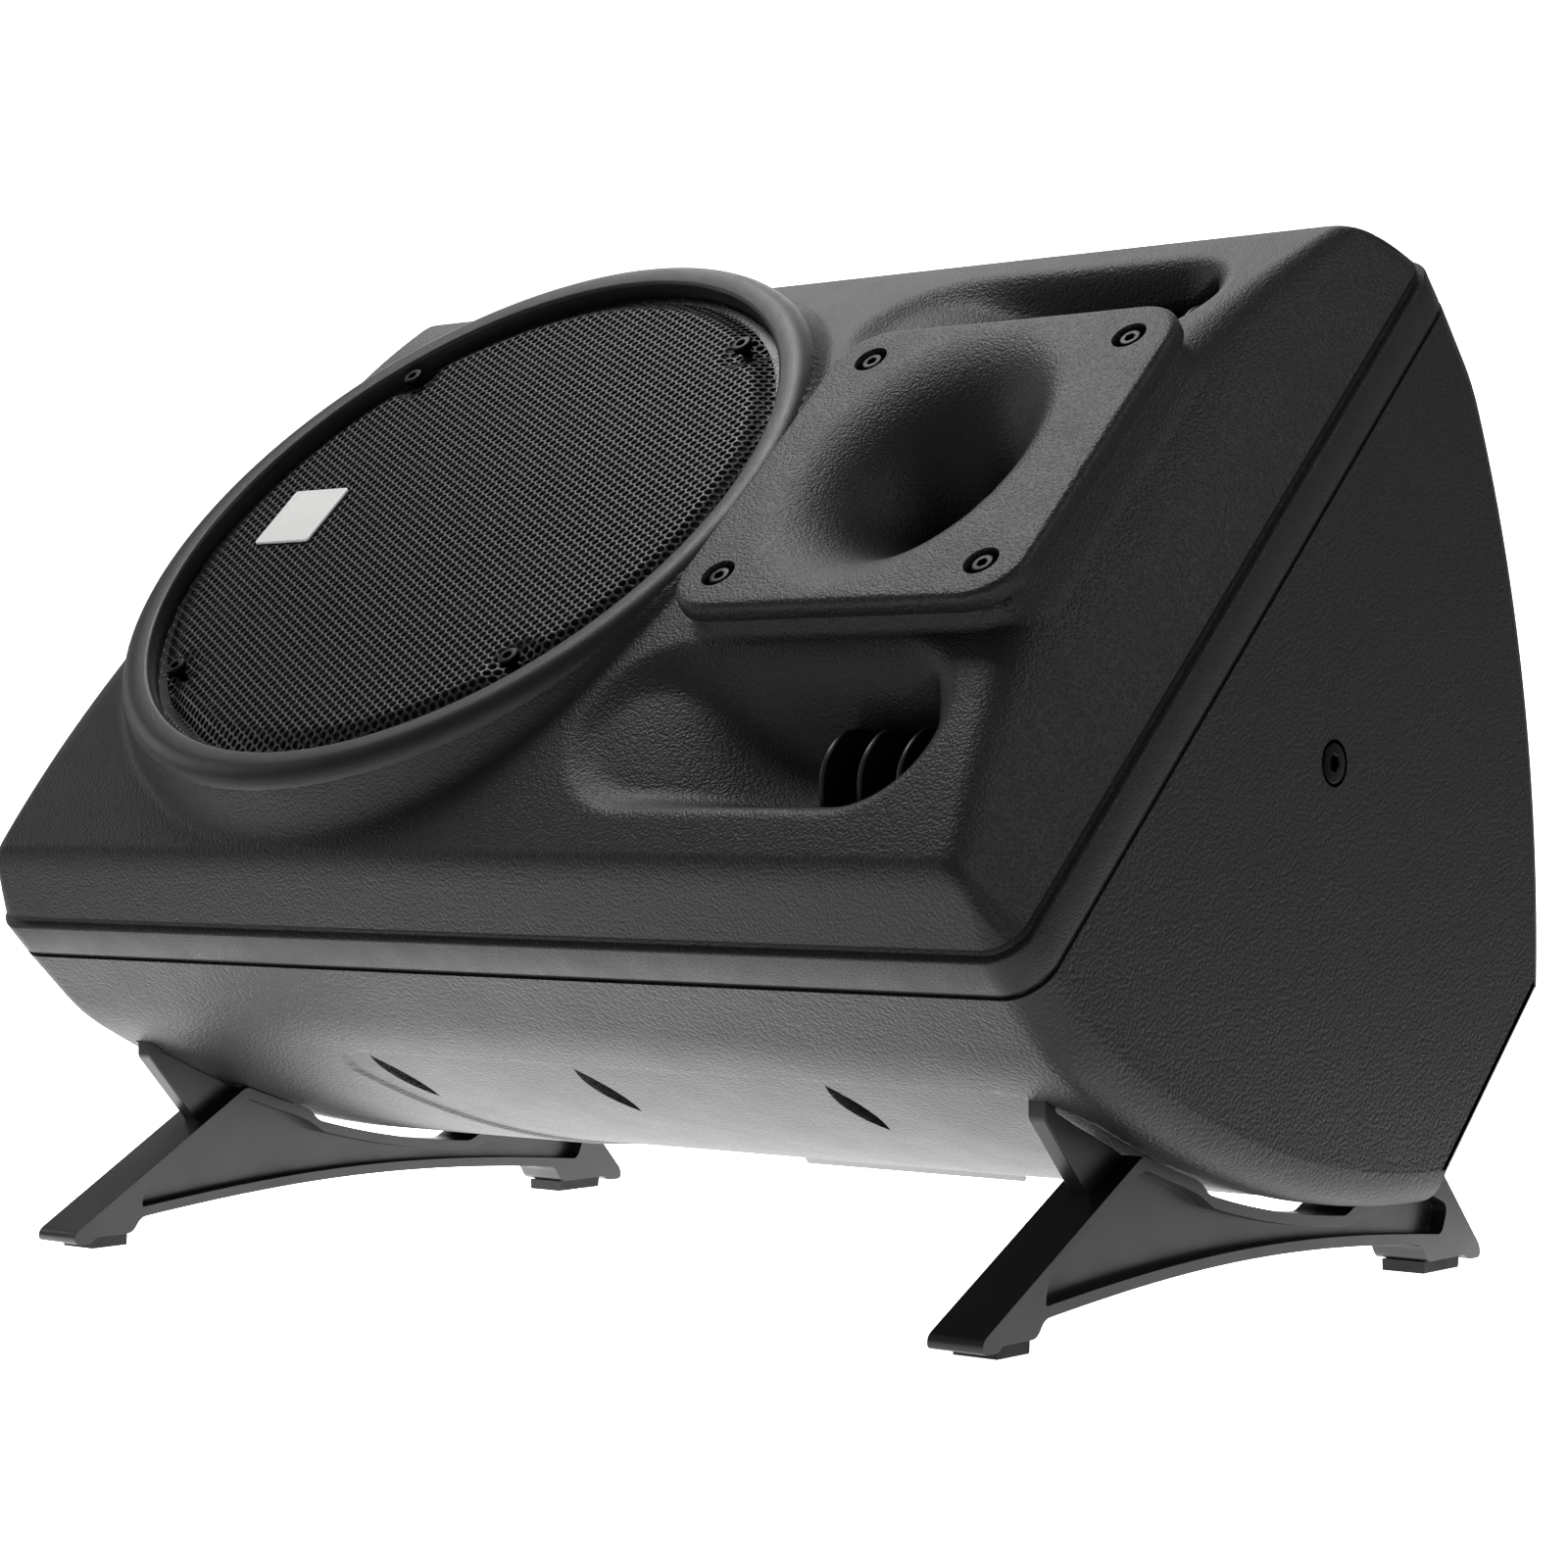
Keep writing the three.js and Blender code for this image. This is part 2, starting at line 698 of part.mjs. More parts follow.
function rearShell() {
  const { recess, recessDepth, insert, insertLength, boss } = RIGGING;
  const { halfWidth, lip } = BACK;
  const keep = [
    ...footPlaces().map(({ x }) => hookPocket(x, SLOTS.boss)),
    ...SLOTS.xs.map((x) => bellySlot(x, SLOTS.boss)),
    ...ends().map(({ x, out }) =>
      solid(axleAlongX(boss, x, x - out * (recessDepth + insertLength + GAP))),
    ),
  ];
  const remove = [
    ...footPlaces().map(({ x }) => hookPocket(x, 0)),
    ...SLOTS.xs.map((x) => bellySlot(x, 0)),
    ...ends().flatMap(({ x, out }) => [
      solid(axleAlongX(recess, x + out, x - out * recessDepth)),
      solid(axleAlongX(insert + GAP, x + out, x - out * (recessDepth + insertLength + 1))),
    ]),
    solid(
      block(
        PANEL_LEFT + lip,
        PANEL_RIGHT - lip,
        -halfWidth + lip,
        halfWidth - lip,
        BACK_Z - 1,
        BACK_Z + 3 * WALL,
      ),
    ),
    ...holes(panelScrewSpots(), M5.shank + HOLE_PLAY, BACK_Z - 1, BACK_Z + BACK.screwLength + 1),
  ];
  const top = -CABINET.seamGap;
  return cut(rearBlank(0, top), cut(rearBlank(WALL, top + 1), ...keep), ...remove);
}

function seamGasket() {
  const ring = solid(prism(planOutline(1.4), -CABINET.seamGap + GAP, -GAP));
  return cut(ring, solid(prism(planOutline(WALL - 0.6), -CABINET.seamGap - 1, 1)));
}

inCabinet("front_shell", geometryOf(frontShell()), plastic);
inCabinet("rear_shell", geometryOf(rearShell()), plastic);
inCabinet("seam_gasket", geometryOf(seamGasket()), foam);

// ---------------------------------------------------------------- grille

function grille() {
  const { radius, thickness, rise, flat } = GRILLE;
  const foot = SEAT.grille + GAP;
  const profile = [
    [0, foot + rise],
    [flat, foot + rise],
    [radius - 1, foot],
    [radius, foot],
    [radius, foot + thickness],
    [flat, foot + rise + thickness],
    [0, foot + rise + thickness],
  ];
  const dish = turned(profile, FACETS.rim);
  return cut(solid(dish), ...holes(grilleScrewSpots(), M5.shank + HOLE_PLAY, foot, RIM.top));
}

const GRILLE_TOP = SEAT.grille + GAP + GRILLE.rise + GRILLE.thickness;

inCabinet("grille", geometryOf(grille()), blackSteel);
inCabinet(
  "badge",
  prism(
    roundedBox(-BADGE.length / 2, BADGE.length / 2, -BADGE.width / 2, BADGE.width / 2, 1, 2),
    GRILLE_TOP + GAP,
    GRILLE_TOP + GAP + BADGE.thickness,
  ),
  whiteLabel,
  -BADGE.fromCentre,
  BADGE.off,
);
grilleScrewSpots().forEach(([x, y], i) => {
  const name = `grille_screw_${i + 1}`;
  const length = GRILLE_TOP + GAP - SEAT.woofer + GRILLE_SCREWS.grip;
  inCabinet(name, screw(M5, length), blackSteel, x, y, GRILLE_TOP + GAP);
});

// ---------------------------------------------------------------- woofer

const FLANGE_TOP = SEAT.woofer + GAP + WOOFER.flangeThickness;
const CONE_TOP = FLANGE_TOP - 2;
const CONE_BOTTOM = CONE_TOP - WOOFER.coneDepth;
const FRAME_BOTTOM = FLANGE_TOP - WOOFER.frameDepth;
const COIL_BOTTOM = CONE_BOTTOM - WOOFER.coilLength;
const COIL_OUTER = WOOFER.coil + WOOFER.coilWall;

// Inner radius of the basket's cone at a height.
const frameInside = (z) => {
  const { frameTop, frameBottom, frameWall } = WOOFER;
  const low = FRAME_BOTTOM + frameWall;
  const share = (z - low) / (FLANGE_TOP - low);
  return frameBottom - frameWall + (frameTop - frameBottom) * share;
};

function wooferBasket() {
  const { flange, frameTop, frameBottom, frameWall, windows } = WOOFER;
  const { windowInner, windowWidth, windowHeight } = WOOFER;
  const low = SEAT.woofer + GAP;
  const body = turned([
    [frameBottom - 16, FRAME_BOTTOM],
    [frameBottom, FRAME_BOTTOM],
    [frameTop, low],
    [flange, low],
    [flange, FLANGE_TOP],
    [frameTop - frameWall, FLANGE_TOP],
    [frameBottom - frameWall, FRAME_BOTTOM + frameWall],
    [frameBottom - 16, FRAME_BOTTOM + frameWall],
  ]);
  const sill = (FRAME_BOTTOM + low) / 2 - 20;
  const half = windowWidth / 2;
  const openings = Array.from({ length: windows }, (_, i) => {
    const opening = block(windowInner, frameTop + 10, -half, half, sill, sill + windowHeight);
    return solid(opening.rotateZ((2 * Math.PI * i) / windows));
  });
  return cut(
    solid(body),
    ...openings,
    ...holes(
      [...grilleScrewSpots(), ...wooferScrewSpots()],
      M5.shank + HOLE_PLAY,
      low - 1,
      FLANGE_TOP + 1,
    ),
  );
}

// Plates, ring and pole piece, with the ring-shaped gap that the voice coil moves in.
function wooferMagnet() {
  const { magnet, magnetDepth, magnetFloor, backPlate, ringStep, gapPlay, coil } = WOOFER;
  const top = FRAME_BOTTOM - GAP;
  const low = top - magnetDepth;
  const floor = low + magnetFloor;
  return turned([
    [0, low],
    [magnet, low],
    [magnet, top - backPlate],
    [magnet - ringStep, top - backPlate],
    [magnet - ringStep, top],
    [COIL_OUTER + gapPlay, top],
    [COIL_OUTER + gapPlay, floor],
    [coil - gapPlay, floor],
    [coil - gapPlay, top],
    [0, top],
  ]);
}

function wooferCone() {
  const { coneOuter, coneThickness } = WOOFER;
  return turned([
    [COIL_OUTER + 0.3, CONE_BOTTOM],
    [coneOuter - 3, CONE_TOP - 3],
    [coneOuter, CONE_TOP - 3],
    [coneOuter, CONE_TOP + coneThickness],
    [coneOuter - 4, CONE_TOP],
    [COIL_OUTER + 0.3, CONE_BOTTOM + 2 * coneThickness],
  ]);
}

// A half roll between the cone's edge and a flat land glued on the basket's flange.
function wooferSurround() {
  const { coneOuter, frameTop, rollHeight } = WOOFER;
  const land = FLANGE_TOP + GAP;
  const inside = coneOuter + 0.4;
  const outside = frameTop - 1;
  const over = arc([outside, land + 1.5], [inside, land + 1.5], rollHeight, 4);
  const under = arc([outside - 1.5, land], [inside + 1.5, land], rollHeight - 1.5, 4).reverse();
  return turned([
    [inside, land - 4],
    [inside + 1.5, land - 4],
    ...under,
    [frameTop + 5, land],
    [frameTop + 5, land + 1.5],
    ...over,
  ]);
}

function spider() {
  const z = FRAME_BOTTOM + 18;
  const inner = COIL_OUTER + 0.4;
  const outer = frameInside(z) - 0.5;
  const waves = 3;
  const ridge = Array.from({ length: 2 * waves + 1 }, (_, i) => [
    inner + ((outer - inner) * i) / (2 * waves),
    z + (i % 2) * 2.5,
  ]);
  return turned([...ridge, ...ridge.map(([r, height]) => [r, height + 1]).reverse()]);
}

function dustCap() {
  const radius = COIL_OUTER + 5;
  const rim = CONE_BOTTOM + 2 * WOOFER.coneThickness + 6;
  const outside = arc([radius, rim], [0, rim + 12], 2.2, 3);
  const inside = arc([radius - 2, rim], [0, rim + 10.5], 2, 3).reverse();
  return turned([...inside, ...outside]);
}

const voiceCoil = () =>
  turned([
    [WOOFER.coil, COIL_BOTTOM],
    [COIL_OUTER, COIL_BOTTOM],
    [COIL_OUTER, CONE_BOTTOM + 1],
    [WOOFER.coil, CONE_BOTTOM + 1],
  ]);

inCabinet("woofer_basket", geometryOf(wooferBasket()), blackSteel);
inCabinet("woofer_magnet", wooferMagnet(), ferrite);
inCabinet("woofer_cone", wooferCone(), paper);
inCabinet("woofer_surround", wooferSurround(), rubber);
inCabinet("woofer_spider", spider(), paper);
inCabinet("woofer_dust_cap", dustCap(), paper);
inCabinet("woofer_voice_coil", voiceCoil(), copper);
wooferScrewSpots().forEach(([x, y], i) => {
  const name = `woofer_screw_${i + 1}`;
  const length = FLANGE_TOP + GAP - SEAT.woofer + WOOFER_SCREWS.grip;
  inCabinet(name, screw(M5, length), zincSteel, x, y, FLANGE_TOP + GAP);
});

// ---------------------------------------------------------------- horn

// Half sizes of the bell at a depth below the plate's face.
function bellHalf(depth) {
  const share = Math.max(0, 1 - depth / HORN.depth) ** HORN.flare;
  return [
    HORN.throat + (HORN.mouthHalfLength - HORN.throat) * share,
    HORN.throat + (HORN.mouthHalfWidth - HORN.throat) * share,
  ];
}

function bellRings(extra, topDepth, levels = 6) {
  return Array.from({ length: levels + 1 }, (_, i) => {
    const depth = HORN.depth + (topDepth - HORN.depth) * (i / levels);
    const [a, b] = bellHalf(depth);
    return { points: ellipse(HORN.x, 0, a + extra, b + extra, FACETS.round), z: PLATE_TOP - depth };
  });
}

function hornWaveguide() {
  const inside = bellRings(0, 0);
  inside[0] = { ...inside[0], z: THROAT_Z - HORN.flangeThickness - 1 };
  inside.push({ points: inside.at(-1).points, z: PLATE_TOP + 1 });
  const plate = solid(prism(hornOutline(0), PLATE_BOTTOM, PLATE_TOP, HORN.round, 2));
  const bell = solid(loft(bellRings(HORN.bellWall, HORN.plate - 2)));
  const flange = disc(HORN.flange, THROAT_Z - HORN.flangeThickness, THROAT_Z + 2);
  const shelf = PLATE_TOP - HORN.counterboreDepth;
  return cut(
    join(plate, bell, solid(flange.translate(HORN.x, 0, 0))),
    solid(loft(inside)),
    ...holes(hornScrewSpots(), HORN.counterbore, shelf, PLATE_TOP + 1),
    ...holes(hornScrewSpots(), M5.shank + HOLE_PLAY, PLATE_BOTTOM - 1, shelf + 1),
  );
}

function hornGasket() {
  const low = HORN.pedestalTop + GAP;
  const sheet = solid(prism(hornOutline(HORN.pedestalInset + 2), low, low + HORN.gasket));
  return cut(
    sheet,
    solid(prism(bellHole(), low - 1, low + HORN.gasket + 1)),
    ...holes(hornScrewSpots(), M5.shank + HOLE_PLAY, low - 1, low + HORN.gasket + 1),
  );
}

const DRIVER_TOP = THROAT_Z - HORN.flangeThickness - GAP;

function compressionDriver() {
  const { radius, body, chamfer, base, throatTaper } = DRIVER;
  return turned([
    [0, DRIVER_TOP - body],
    [radius, DRIVER_TOP - body],
    [radius, DRIVER_TOP - chamfer],
    [radius - chamfer, DRIVER_TOP],
    [HORN.throat, DRIVER_TOP],
    [HORN.throat - throatTaper, DRIVER_TOP - body + base],
    [0, DRIVER_TOP - body + base],
  ]);
}

function driverCap() {
  const { body, cap, capRadius, capChamfer } = DRIVER;
  const top = DRIVER_TOP - body - GAP;
  const low = top - cap;
  return turned([
    [0, low],
    [capRadius - capChamfer, low],
    [capRadius, low + capChamfer],
    [capRadius, top],
    [0, top],
  ]);
}

inCabinet("horn_waveguide", geometryOf(hornWaveguide()), plastic);
inCabinet("horn_gasket", geometryOf(hornGasket()), foam);
inCabinet("compression_driver", compressionDriver(), ferrite, HORN.x);
inCabinet("driver_cap", driverCap(), smoothPlastic, HORN.x);
hornScrewSpots().forEach(([x, y], i) => {
  const name = `horn_screw_${i + 1}`;
  const z = PLATE_TOP - HORN.counterboreDepth + GAP;
  inCabinet(name, screw(M5, HORN.screwLength), blackSteel, x, y, z);
});

// ---------------------------------------------------------------- reflex ducts

// A box duct under the scoop's floor, with upright fins standing in its mouth.
function reflexDuct(side) {
  const { right, inner, outer, floor, ductLength, wall } = SCOOP;
  const { length, finThickness, finPitch, finTop, finRoot, play } = DUCT;
  const top = floor - wall - GAP;
  const [left, front, rear] = [right - ductLength, inner, outer];
  const tube = cut(
    solid(block(left - wall, right + wall, front - wall, rear + wall, top - length, top)),
    solid(block(left + play, right - play, front + play, rear - play, top - length - 1, top + 1)),
  );
  const middle = (left + right) / 2;
  const fins = [-1, 0, 1].map((i) => {
    const x = middle + i * finPitch;
    const shape = [
      [front + play / 2, top - finRoot],
      [rear - play / 2, top - finRoot],
      [rear - play / 2, top + 2],
      [rear - 2, finTop - 12],
      [(front + rear) / 2 + 8, finTop],
      [front + 8, finTop - 10],
      [front + 1.5, top + 2],
    ];
    return solid(prismAlongX(shape, x - finThickness / 2, x + finThickness / 2));
  });
  const duct = geometryOf(join(tube, ...fins));
  return side > 0 ? duct : duct.rotateZ(Math.PI).translate(left + right, 0, 0);
}

inCabinet("reflex_duct_upper", reflexDuct(1), smoothPlastic);
inCabinet("reflex_duct_lower", reflexDuct(-1), smoothPlastic);

// ---------------------------------------------------------------- rigging points

for (const { side, x, out } of ends()) {
  const { insert, insertLength, recessDepth } = RIGGING;
  const face = x - out * recessDepth;
  const bush = cut(
    solid(axleAlongX(insert, face, face - out * insertLength)),
    solid(axleAlongX(M8.shank + GAP, face + out, face - out * (insertLength + 1), 16)),
  );
  inCabinet(`rigging_insert_${side}`, geometryOf(bush), brass);
  const bolt = inCabinet(
    `rigging_screw_${side}`,
    screw(M8, insertLength - 2),
    blackSteel,
    face + out * GAP,
    0,
    -RIGGING.depth,
  );
  bolt.rotation.y = (out * Math.PI) / 2;
}

// ---------------------------------------------------------------- amplifier

function panelScrewSpots() {
  const { halfWidth, screwInset } = BACK;
  return [PANEL_LEFT + screwInset, PANEL_RIGHT - screwInset].flatMap((x) =>
    [-1, 1].map((side) => [x, side * (halfWidth - screwInset)]),
  );
}

const PANEL_TOP = BACK_Z - GAP;
const PANEL_OUT = PANEL_TOP - BACK.panel;
const socketSpots = () => [
  { name: "input_socket", y: SOCKET.y },
  { name: "link_socket", y: -SOCKET.y },
];
const knobSpots = () => [
  { name: "level_knob", y: KNOB.pitch },
  { name: "treble_knob", y: 0 },
  { name: "bass_knob", y: -KNOB.pitch },
];

function ampPanel() {
  const { halfWidth, corner } = BACK;
  const outline = roundedBox(PANEL_LEFT, PANEL_RIGHT, -halfWidth, halfWidth, corner);
  const plate = prism(outline, PANEL_OUT, PANEL_TOP);
  const [low, high] = [PANEL_OUT - 1, PANEL_TOP + 1];
  const inletX = INLET.length / 2 + INLET.wall + GAP;
  const inletY = INLET.width / 2 + INLET.wall + GAP;
  const rockerX = ROCKER.length / 2 + ROCKER.frame + GAP;
  const rockerY = ROCKER.width / 2 + ROCKER.frame + GAP;
  return cut(
    solid(plate),
    ...holes(socketSpots().map(({ y }) => [SOCKET_X, y]), SOCKET.cup + GAP, low, high, FACETS.round),
    ...holes(knobSpots().map(({ y }) => [KNOB_X, y]), KNOB.shaft + HOLE_PLAY, low, high),
    ...holes(panelScrewSpots(), M5.shank + HOLE_PLAY, low, high),
    ...holes([[ROCKER_X, LAMP.y]], LAMP.radius + GAP, low, high),
    solid(block(INLET_X - inletX, INLET_X + inletX, -inletY, inletY, low, high)),
    solid(block(ROCKER_X - rockerX, ROCKER_X + rockerX, -rockerY, rockerY, low, high)),
  );
}

// An extrusion with fins along the cabinet, standing on the panel.
function heatsink() {
  const { fromLeft, length, halfWidth, height, base, fins, fin } = HEATSINK;
  const left = PANEL_LEFT + fromLeft;
  const top = PANEL_OUT - GAP;
  const plate = solid(block(left, left + length, -halfWidth, halfWidth, top - base, top));
  const pitch = (2 * halfWidth - fin) / (fins - 1);
  const blades = Array.from({ length: fins }, (_, i) => {
    const y = -halfWidth + i * pitch;
    return solid(block(left, left + length, y, y + fin, top - height, top - base + 1));
  });
  return join(plate, ...blades);
}

// A round connector, its mouth outwards.
function socket() {
  const { bore, cup, depth, base, flange, flangeThickness } = SOCKET;
  const mouth = PANEL_OUT - GAP;
  return turned([
    [0, mouth + depth],
    [0, mouth + depth - base],
    [bore, mouth + depth - base],
    [bore, mouth - flangeThickness],
    [flange, mouth - flangeThickness],
    [flange, mouth],
    [cup, mouth],
    [cup, mouth + depth],
  ]);
}

function knob() {
  const { radius, height, shaft, grips, shaftLength } = KNOB;
  const low = PANEL_OUT - 0.6;
  const body = turned(
    [
      [0, low - height],
      [radius - 1.5, low - height],
      [radius, low - height + 2],
      [radius + 0.6, low],
      [shaft, low],
      [shaft, low + shaftLength],
      [0, low + shaftLength],
    ],
    2 * KNOB.grips,
  );
  const grooves = Array.from({ length: grips }, (_, i) => {
    const angle = (2 * Math.PI * i) / grips;
    const groove = disc(1, low - height - 1, low + 1, 4);
    return solid(groove.translate((radius + 0.6) * Math.cos(angle), (radius + 0.6) * Math.sin(angle), 0));
  });
  const pointer = solid(block(radius * 0.35, radius + 1, -0.5, 0.5, low - height - 1, low - height + 0.6));
  return cut(solid(body), ...grooves, pointer);
}

// A square-cornered appliance inlet with three pins.
function mainsInlet() {
  const { length, width, wall, depth, flange, flangeThickness, pin, pinWidth } = INLET;
  const mouth = PANEL_OUT - GAP;
  const [halfX, halfY] = [length / 2, width / 2];
  const [outX, outY] = [halfX + wall, halfY + wall];
  const [plateX, plateY] = [outX + flange, outY + flange / 2];
  const plate = block(-plateX, plateX, -plateY, plateY, mouth - flangeThickness, mouth);
  const cup = block(-outX, outX, -outY, outY, mouth - 1, mouth + depth);
  const cavity = block(-halfX, halfX, -halfY, halfY, mouth - 4, mouth + depth - 2);
  const reach = pinWidth / 2;
  const pins = INLET.pins.map(([x, y]) =>
    solid(block(x - pin / 2, x + pin / 2, y - reach, y + reach, mouth + 5, mouth + depth - 1)),
  );
  return join(cut(join(solid(plate), solid(cup)), solid(cavity)), ...pins);
}

const ROCKER_PIVOT_Z = PANEL_OUT + 1;

function switchHousing() {
  const { length, width, frame, flangeX, flangeY, thickness } = ROCKER;
  const mouth = PANEL_OUT - GAP;
  const [halfX, halfY] = [length / 2 + 1, width / 2 + 1];
  const [plateX, plateY] = [halfX + flangeX, halfY + flangeY];
  const [boxX, boxY] = [length / 2 + frame, width / 2 + frame];
  const plate = block(-plateX, plateX, -plateY, plateY, mouth - 2, mouth);
  const box = block(-boxX, boxX, -boxY, boxY, mouth - 1, mouth + 3 * thickness);
  const well = block(-halfX, halfX, -halfY, halfY, mouth - 3, mouth + 3 * thickness - 2);
  return cut(join(solid(plate), solid(box)), solid(well));
}

// A shallow V that tips about its middle.
function powerRocker() {
  const { length, width, play, tilt, thickness } = ROCKER;
  const half = length / 2 - play;
  const rise = half * Math.tan(THREE.MathUtils.degToRad(tilt));
  const low = -thickness / 2;
  const outline = [
    [-half, low - rise],
    [0, low],
    [half, low - rise],
    [half - 1, low + thickness - rise],
    [0, thickness],
    [-half + 1, low + thickness - rise],
  ];
  return prismAcross(outline, width / 2 - play);
}

function amplifierBoard() {
  const { fromLeft, length, halfWidth, thickness, standOff, post, postInset } = BOARD;
  const left = PANEL_LEFT + fromLeft;
  const low = PANEL_TOP + standOff;
  const right = left + length;
  const sheet = solid(block(left, right, -halfWidth, halfWidth, low, low + thickness));
  const postSpots = [left + postInset, right - postInset].flatMap((x) =>
    [-1, 1].map((side) => [x, side * (halfWidth - postInset)]),
  );
  const posts = holes(postSpots, post, PANEL_TOP + GAP, low + 1);
  const parts = BOARD_PARTS.map(({ along, y, radius, height }) =>
    solid(disc(radius, low + 1, low + height, FACETS.small).translate(left + along, y, 0)),
  );
  return join(sheet, ...posts, ...parts);
}

function toroid() {
  const { ring, section, foot, raised } = TOROID;
  const low = PANEL_TOP + GAP + raised;
  const coil = ellipse(ring, low + section, section, section, 8);
  const core = disc(ring - section / 2, low + section / 2, low + (3 * section) / 2);
  return join(solid(turned(coil)), solid(core), solid(disc(foot, PANEL_TOP + GAP, low + section)));
}

inCabinet("amp_panel", geometryOf(ampPanel()), blackSteel);
inCabinet("heatsink", geometryOf(heatsink()), aluminium);
inCabinet("amp_board", geometryOf(amplifierBoard()), boardGreen);
inCabinet("transformer", geometryOf(toroid()), copper, TOROID_X);
inCabinet("mains_inlet", geometryOf(mainsInlet()), smoothPlastic, INLET_X);
inCabinet("switch_housing", geometryOf(switchHousing()), smoothPlastic, ROCKER_X);
const rocker = inCabinet("power_rocker", powerRocker(), smoothPlastic, ROCKER_X, 0, ROCKER_PIVOT_Z);
rocker.rotation.y = THREE.MathUtils.degToRad(ROCKER.tilt);
const lampLens = disc(LAMP.radius, PANEL_OUT - LAMP.proud, PANEL_TOP + LAMP.length / 2, FACETS.small);
inCabinet("power_light", lampLens, lamp, ROCKER_X, LAMP.y);
for (const { name, y } of socketSpots()) {
  inCabinet(name, socket(), smoothPlastic, SOCKET_X, y);
}
for (const { name, y } of knobSpots()) {
  inCabinet(name, geometryOf(knob()), rubber, KNOB_X, y);
}
panelScrewSpots().forEach(([x, y], i) => {
  const bolt = inCabinet(
    `panel_screw_${i + 1}`,
    screw(M5, BACK.screwLength),
    blackSteel,
    x,
    y,
    PANEL_OUT - GAP,
  );
  bolt.rotation.x = Math.PI;
});

// ---------------------------------------------------------------- lining

// A bent foam slab on the inside of the upper wall.
function lining() {
  const { thickness, length, inset: play } = LINING;
  const shares = Array.from({ length: 7 }, (_, i) => 0.15 + 0.1 * i);
  const outer = shares.map((share) => bellyPoint(share, -(WALL + play)));
  const inner = shares.map((share) => bellyPoint(share, -(WALL + play + thickness)));
  const section = mirrored([...outer, ...inner.reverse()]);
  return prismAlongX(section, MIDDLE - length / 2, MIDDLE + length / 2);
}

inCabinet("acoustic_lining", lining(), foam);

// ---------------------------------------------------------------- feet

// The foot's side view, [Y, height]. Its upper edge runs from the claw behind the cabinet, along
// two seats under the belly, to the elbow where the strut leaves for the toe.
function footEdges() {
  const { toeReach, heelReach, tipHigh, archHeight, clearance, relief, claw } = FOOT;
  const toeY = toFloor(CREASE)[0] - toeReach;
  const heelY = toFloor(BACK_EDGE)[0] + heelReach;
  const onBelly = (share, off) => toFloor(bellyPoint(share, clearance + off));
  const backFace = (up) => toFloor([BACK_EDGE[0] + up, BACK_Z - clearance]);
  const archAt = (y) => {
    const share = (y - toeY) / (heelY - toeY);
    return tipHigh + (archHeight - tipHigh) * Math.sin(Math.PI * share);
  };
  const arch = (from, to) =>
    Array.from({ length: 9 }, (_, i) => {
      const y = from + ((to - from) * i) / 8;
      return [y, archAt(y)];
    });
  const under = [
    onBelly(0.97, 0),
    onBelly(0.9, 0),
    onBelly(0.88, relief),
    onBelly(0.75, relief),
    onBelly(0.62, relief),
    onBelly(0.49, relief * 0.8),
    onBelly(0.46, 0),
    onBelly(0.38, 0),
    onBelly(ELBOW_AT, 0),
  ];
  return { toeY, heelY, archAt, arch, under, clawTop: backFace(claw), corner: backFace(-1) };
}

const between = (from, to, share) => from.map((value, i) => value + (to[i] - value) * share);

// The first point up the strut's upper edge where it stands deep enough over the arch.
function hollowStart(toe, elbow, archAt) {
  const steps = 100;
  const points = Array.from({ length: steps + 1 }, (_, i) => between(toe, elbow, i / steps));
  return points.find(([y, z]) => z - archAt(y) >= FOOT.hollowFrom);
}

function footOutline() {
  const { tipLow, tipHigh } = FOOT;
  const { toeY, heelY, arch, under, clawTop, corner } = footEdges();
  const heel = [heelY, tipHigh];
  return [
    [toeY, tipLow],
    [toeY + 10, tipLow],
    ...arch(toeY + 20, heelY - 46),
    [heelY - 10, tipLow],
    [heelY, tipLow],
    heel,
    [clawTop[0] + 4, clawTop[1] - 3],
    clawTop,
    corner,
    ...under,
    [toeY, tipHigh],
  ];
}

// The edges that frame the hollow on each side of the foot's web.
function webOutline() {
  const { toeY, heelY, archAt, arch, under, clawTop, corner } = footEdges();
  const heel = [heelY, FOOT.tipHigh];
  const start = hollowStart([toeY, FOOT.tipHigh], under.at(-1), archAt);
  const rim = [
    ...arch(start[0] - FOOT.flange, heelY - 30),
    between(heel, clawTop, 0.45),
    between(corner, clawTop, 0.5),
    corner,
    ...under,
    start,
  ];
  return rim;
}

// A solid that fills the hollow from one x to another, a flange's thickness inside the foot's edges.
function hollow(from, to) {
  const section = new wasm.CrossSection([webOutline()]).offset(-FOOT.flange, "Miter");
  const [y, z, x, origin] = [[0, 1, 0, 0], [0, 0, 1, 0], [1, 0, 0, 0], [from, 0, 0, 1]];
  return section.extrude(to - from).transform([...y, ...z, ...x, ...origin]);
}

// The web that carries the hook from the strut up to the cabinet's pocket.
function hookOutline() {
  const { clearance, hookLength, hookHeight } = FOOT;
  const hook = toFloor(bellyPoint(HOOK_AT));
  const elbow = toFloor(bellyPoint(ELBOW_AT, clearance));
  const between = [0.26, 0.21, 0.16].map((share) => toFloor(bellyPoint(share, clearance)));
  const half = hookLength / 2;
  return [
    [elbow[0] - 6, elbow[1] - 10],
    [elbow[0], elbow[1] - 1],
    ...between,
    [hook[0] + half, hook[1] - 2.5],
    [hook[0] + half, hook[1] + hookHeight - 1],
    [hook[0] + half - 1.5, hook[1] + hookHeight],
    [hook[0] - half, hook[1] + hookHeight],
    [hook[0] - half, hook[1] - 5],
    [elbow[0] - 22, elbow[1] - 16],
  ];
}

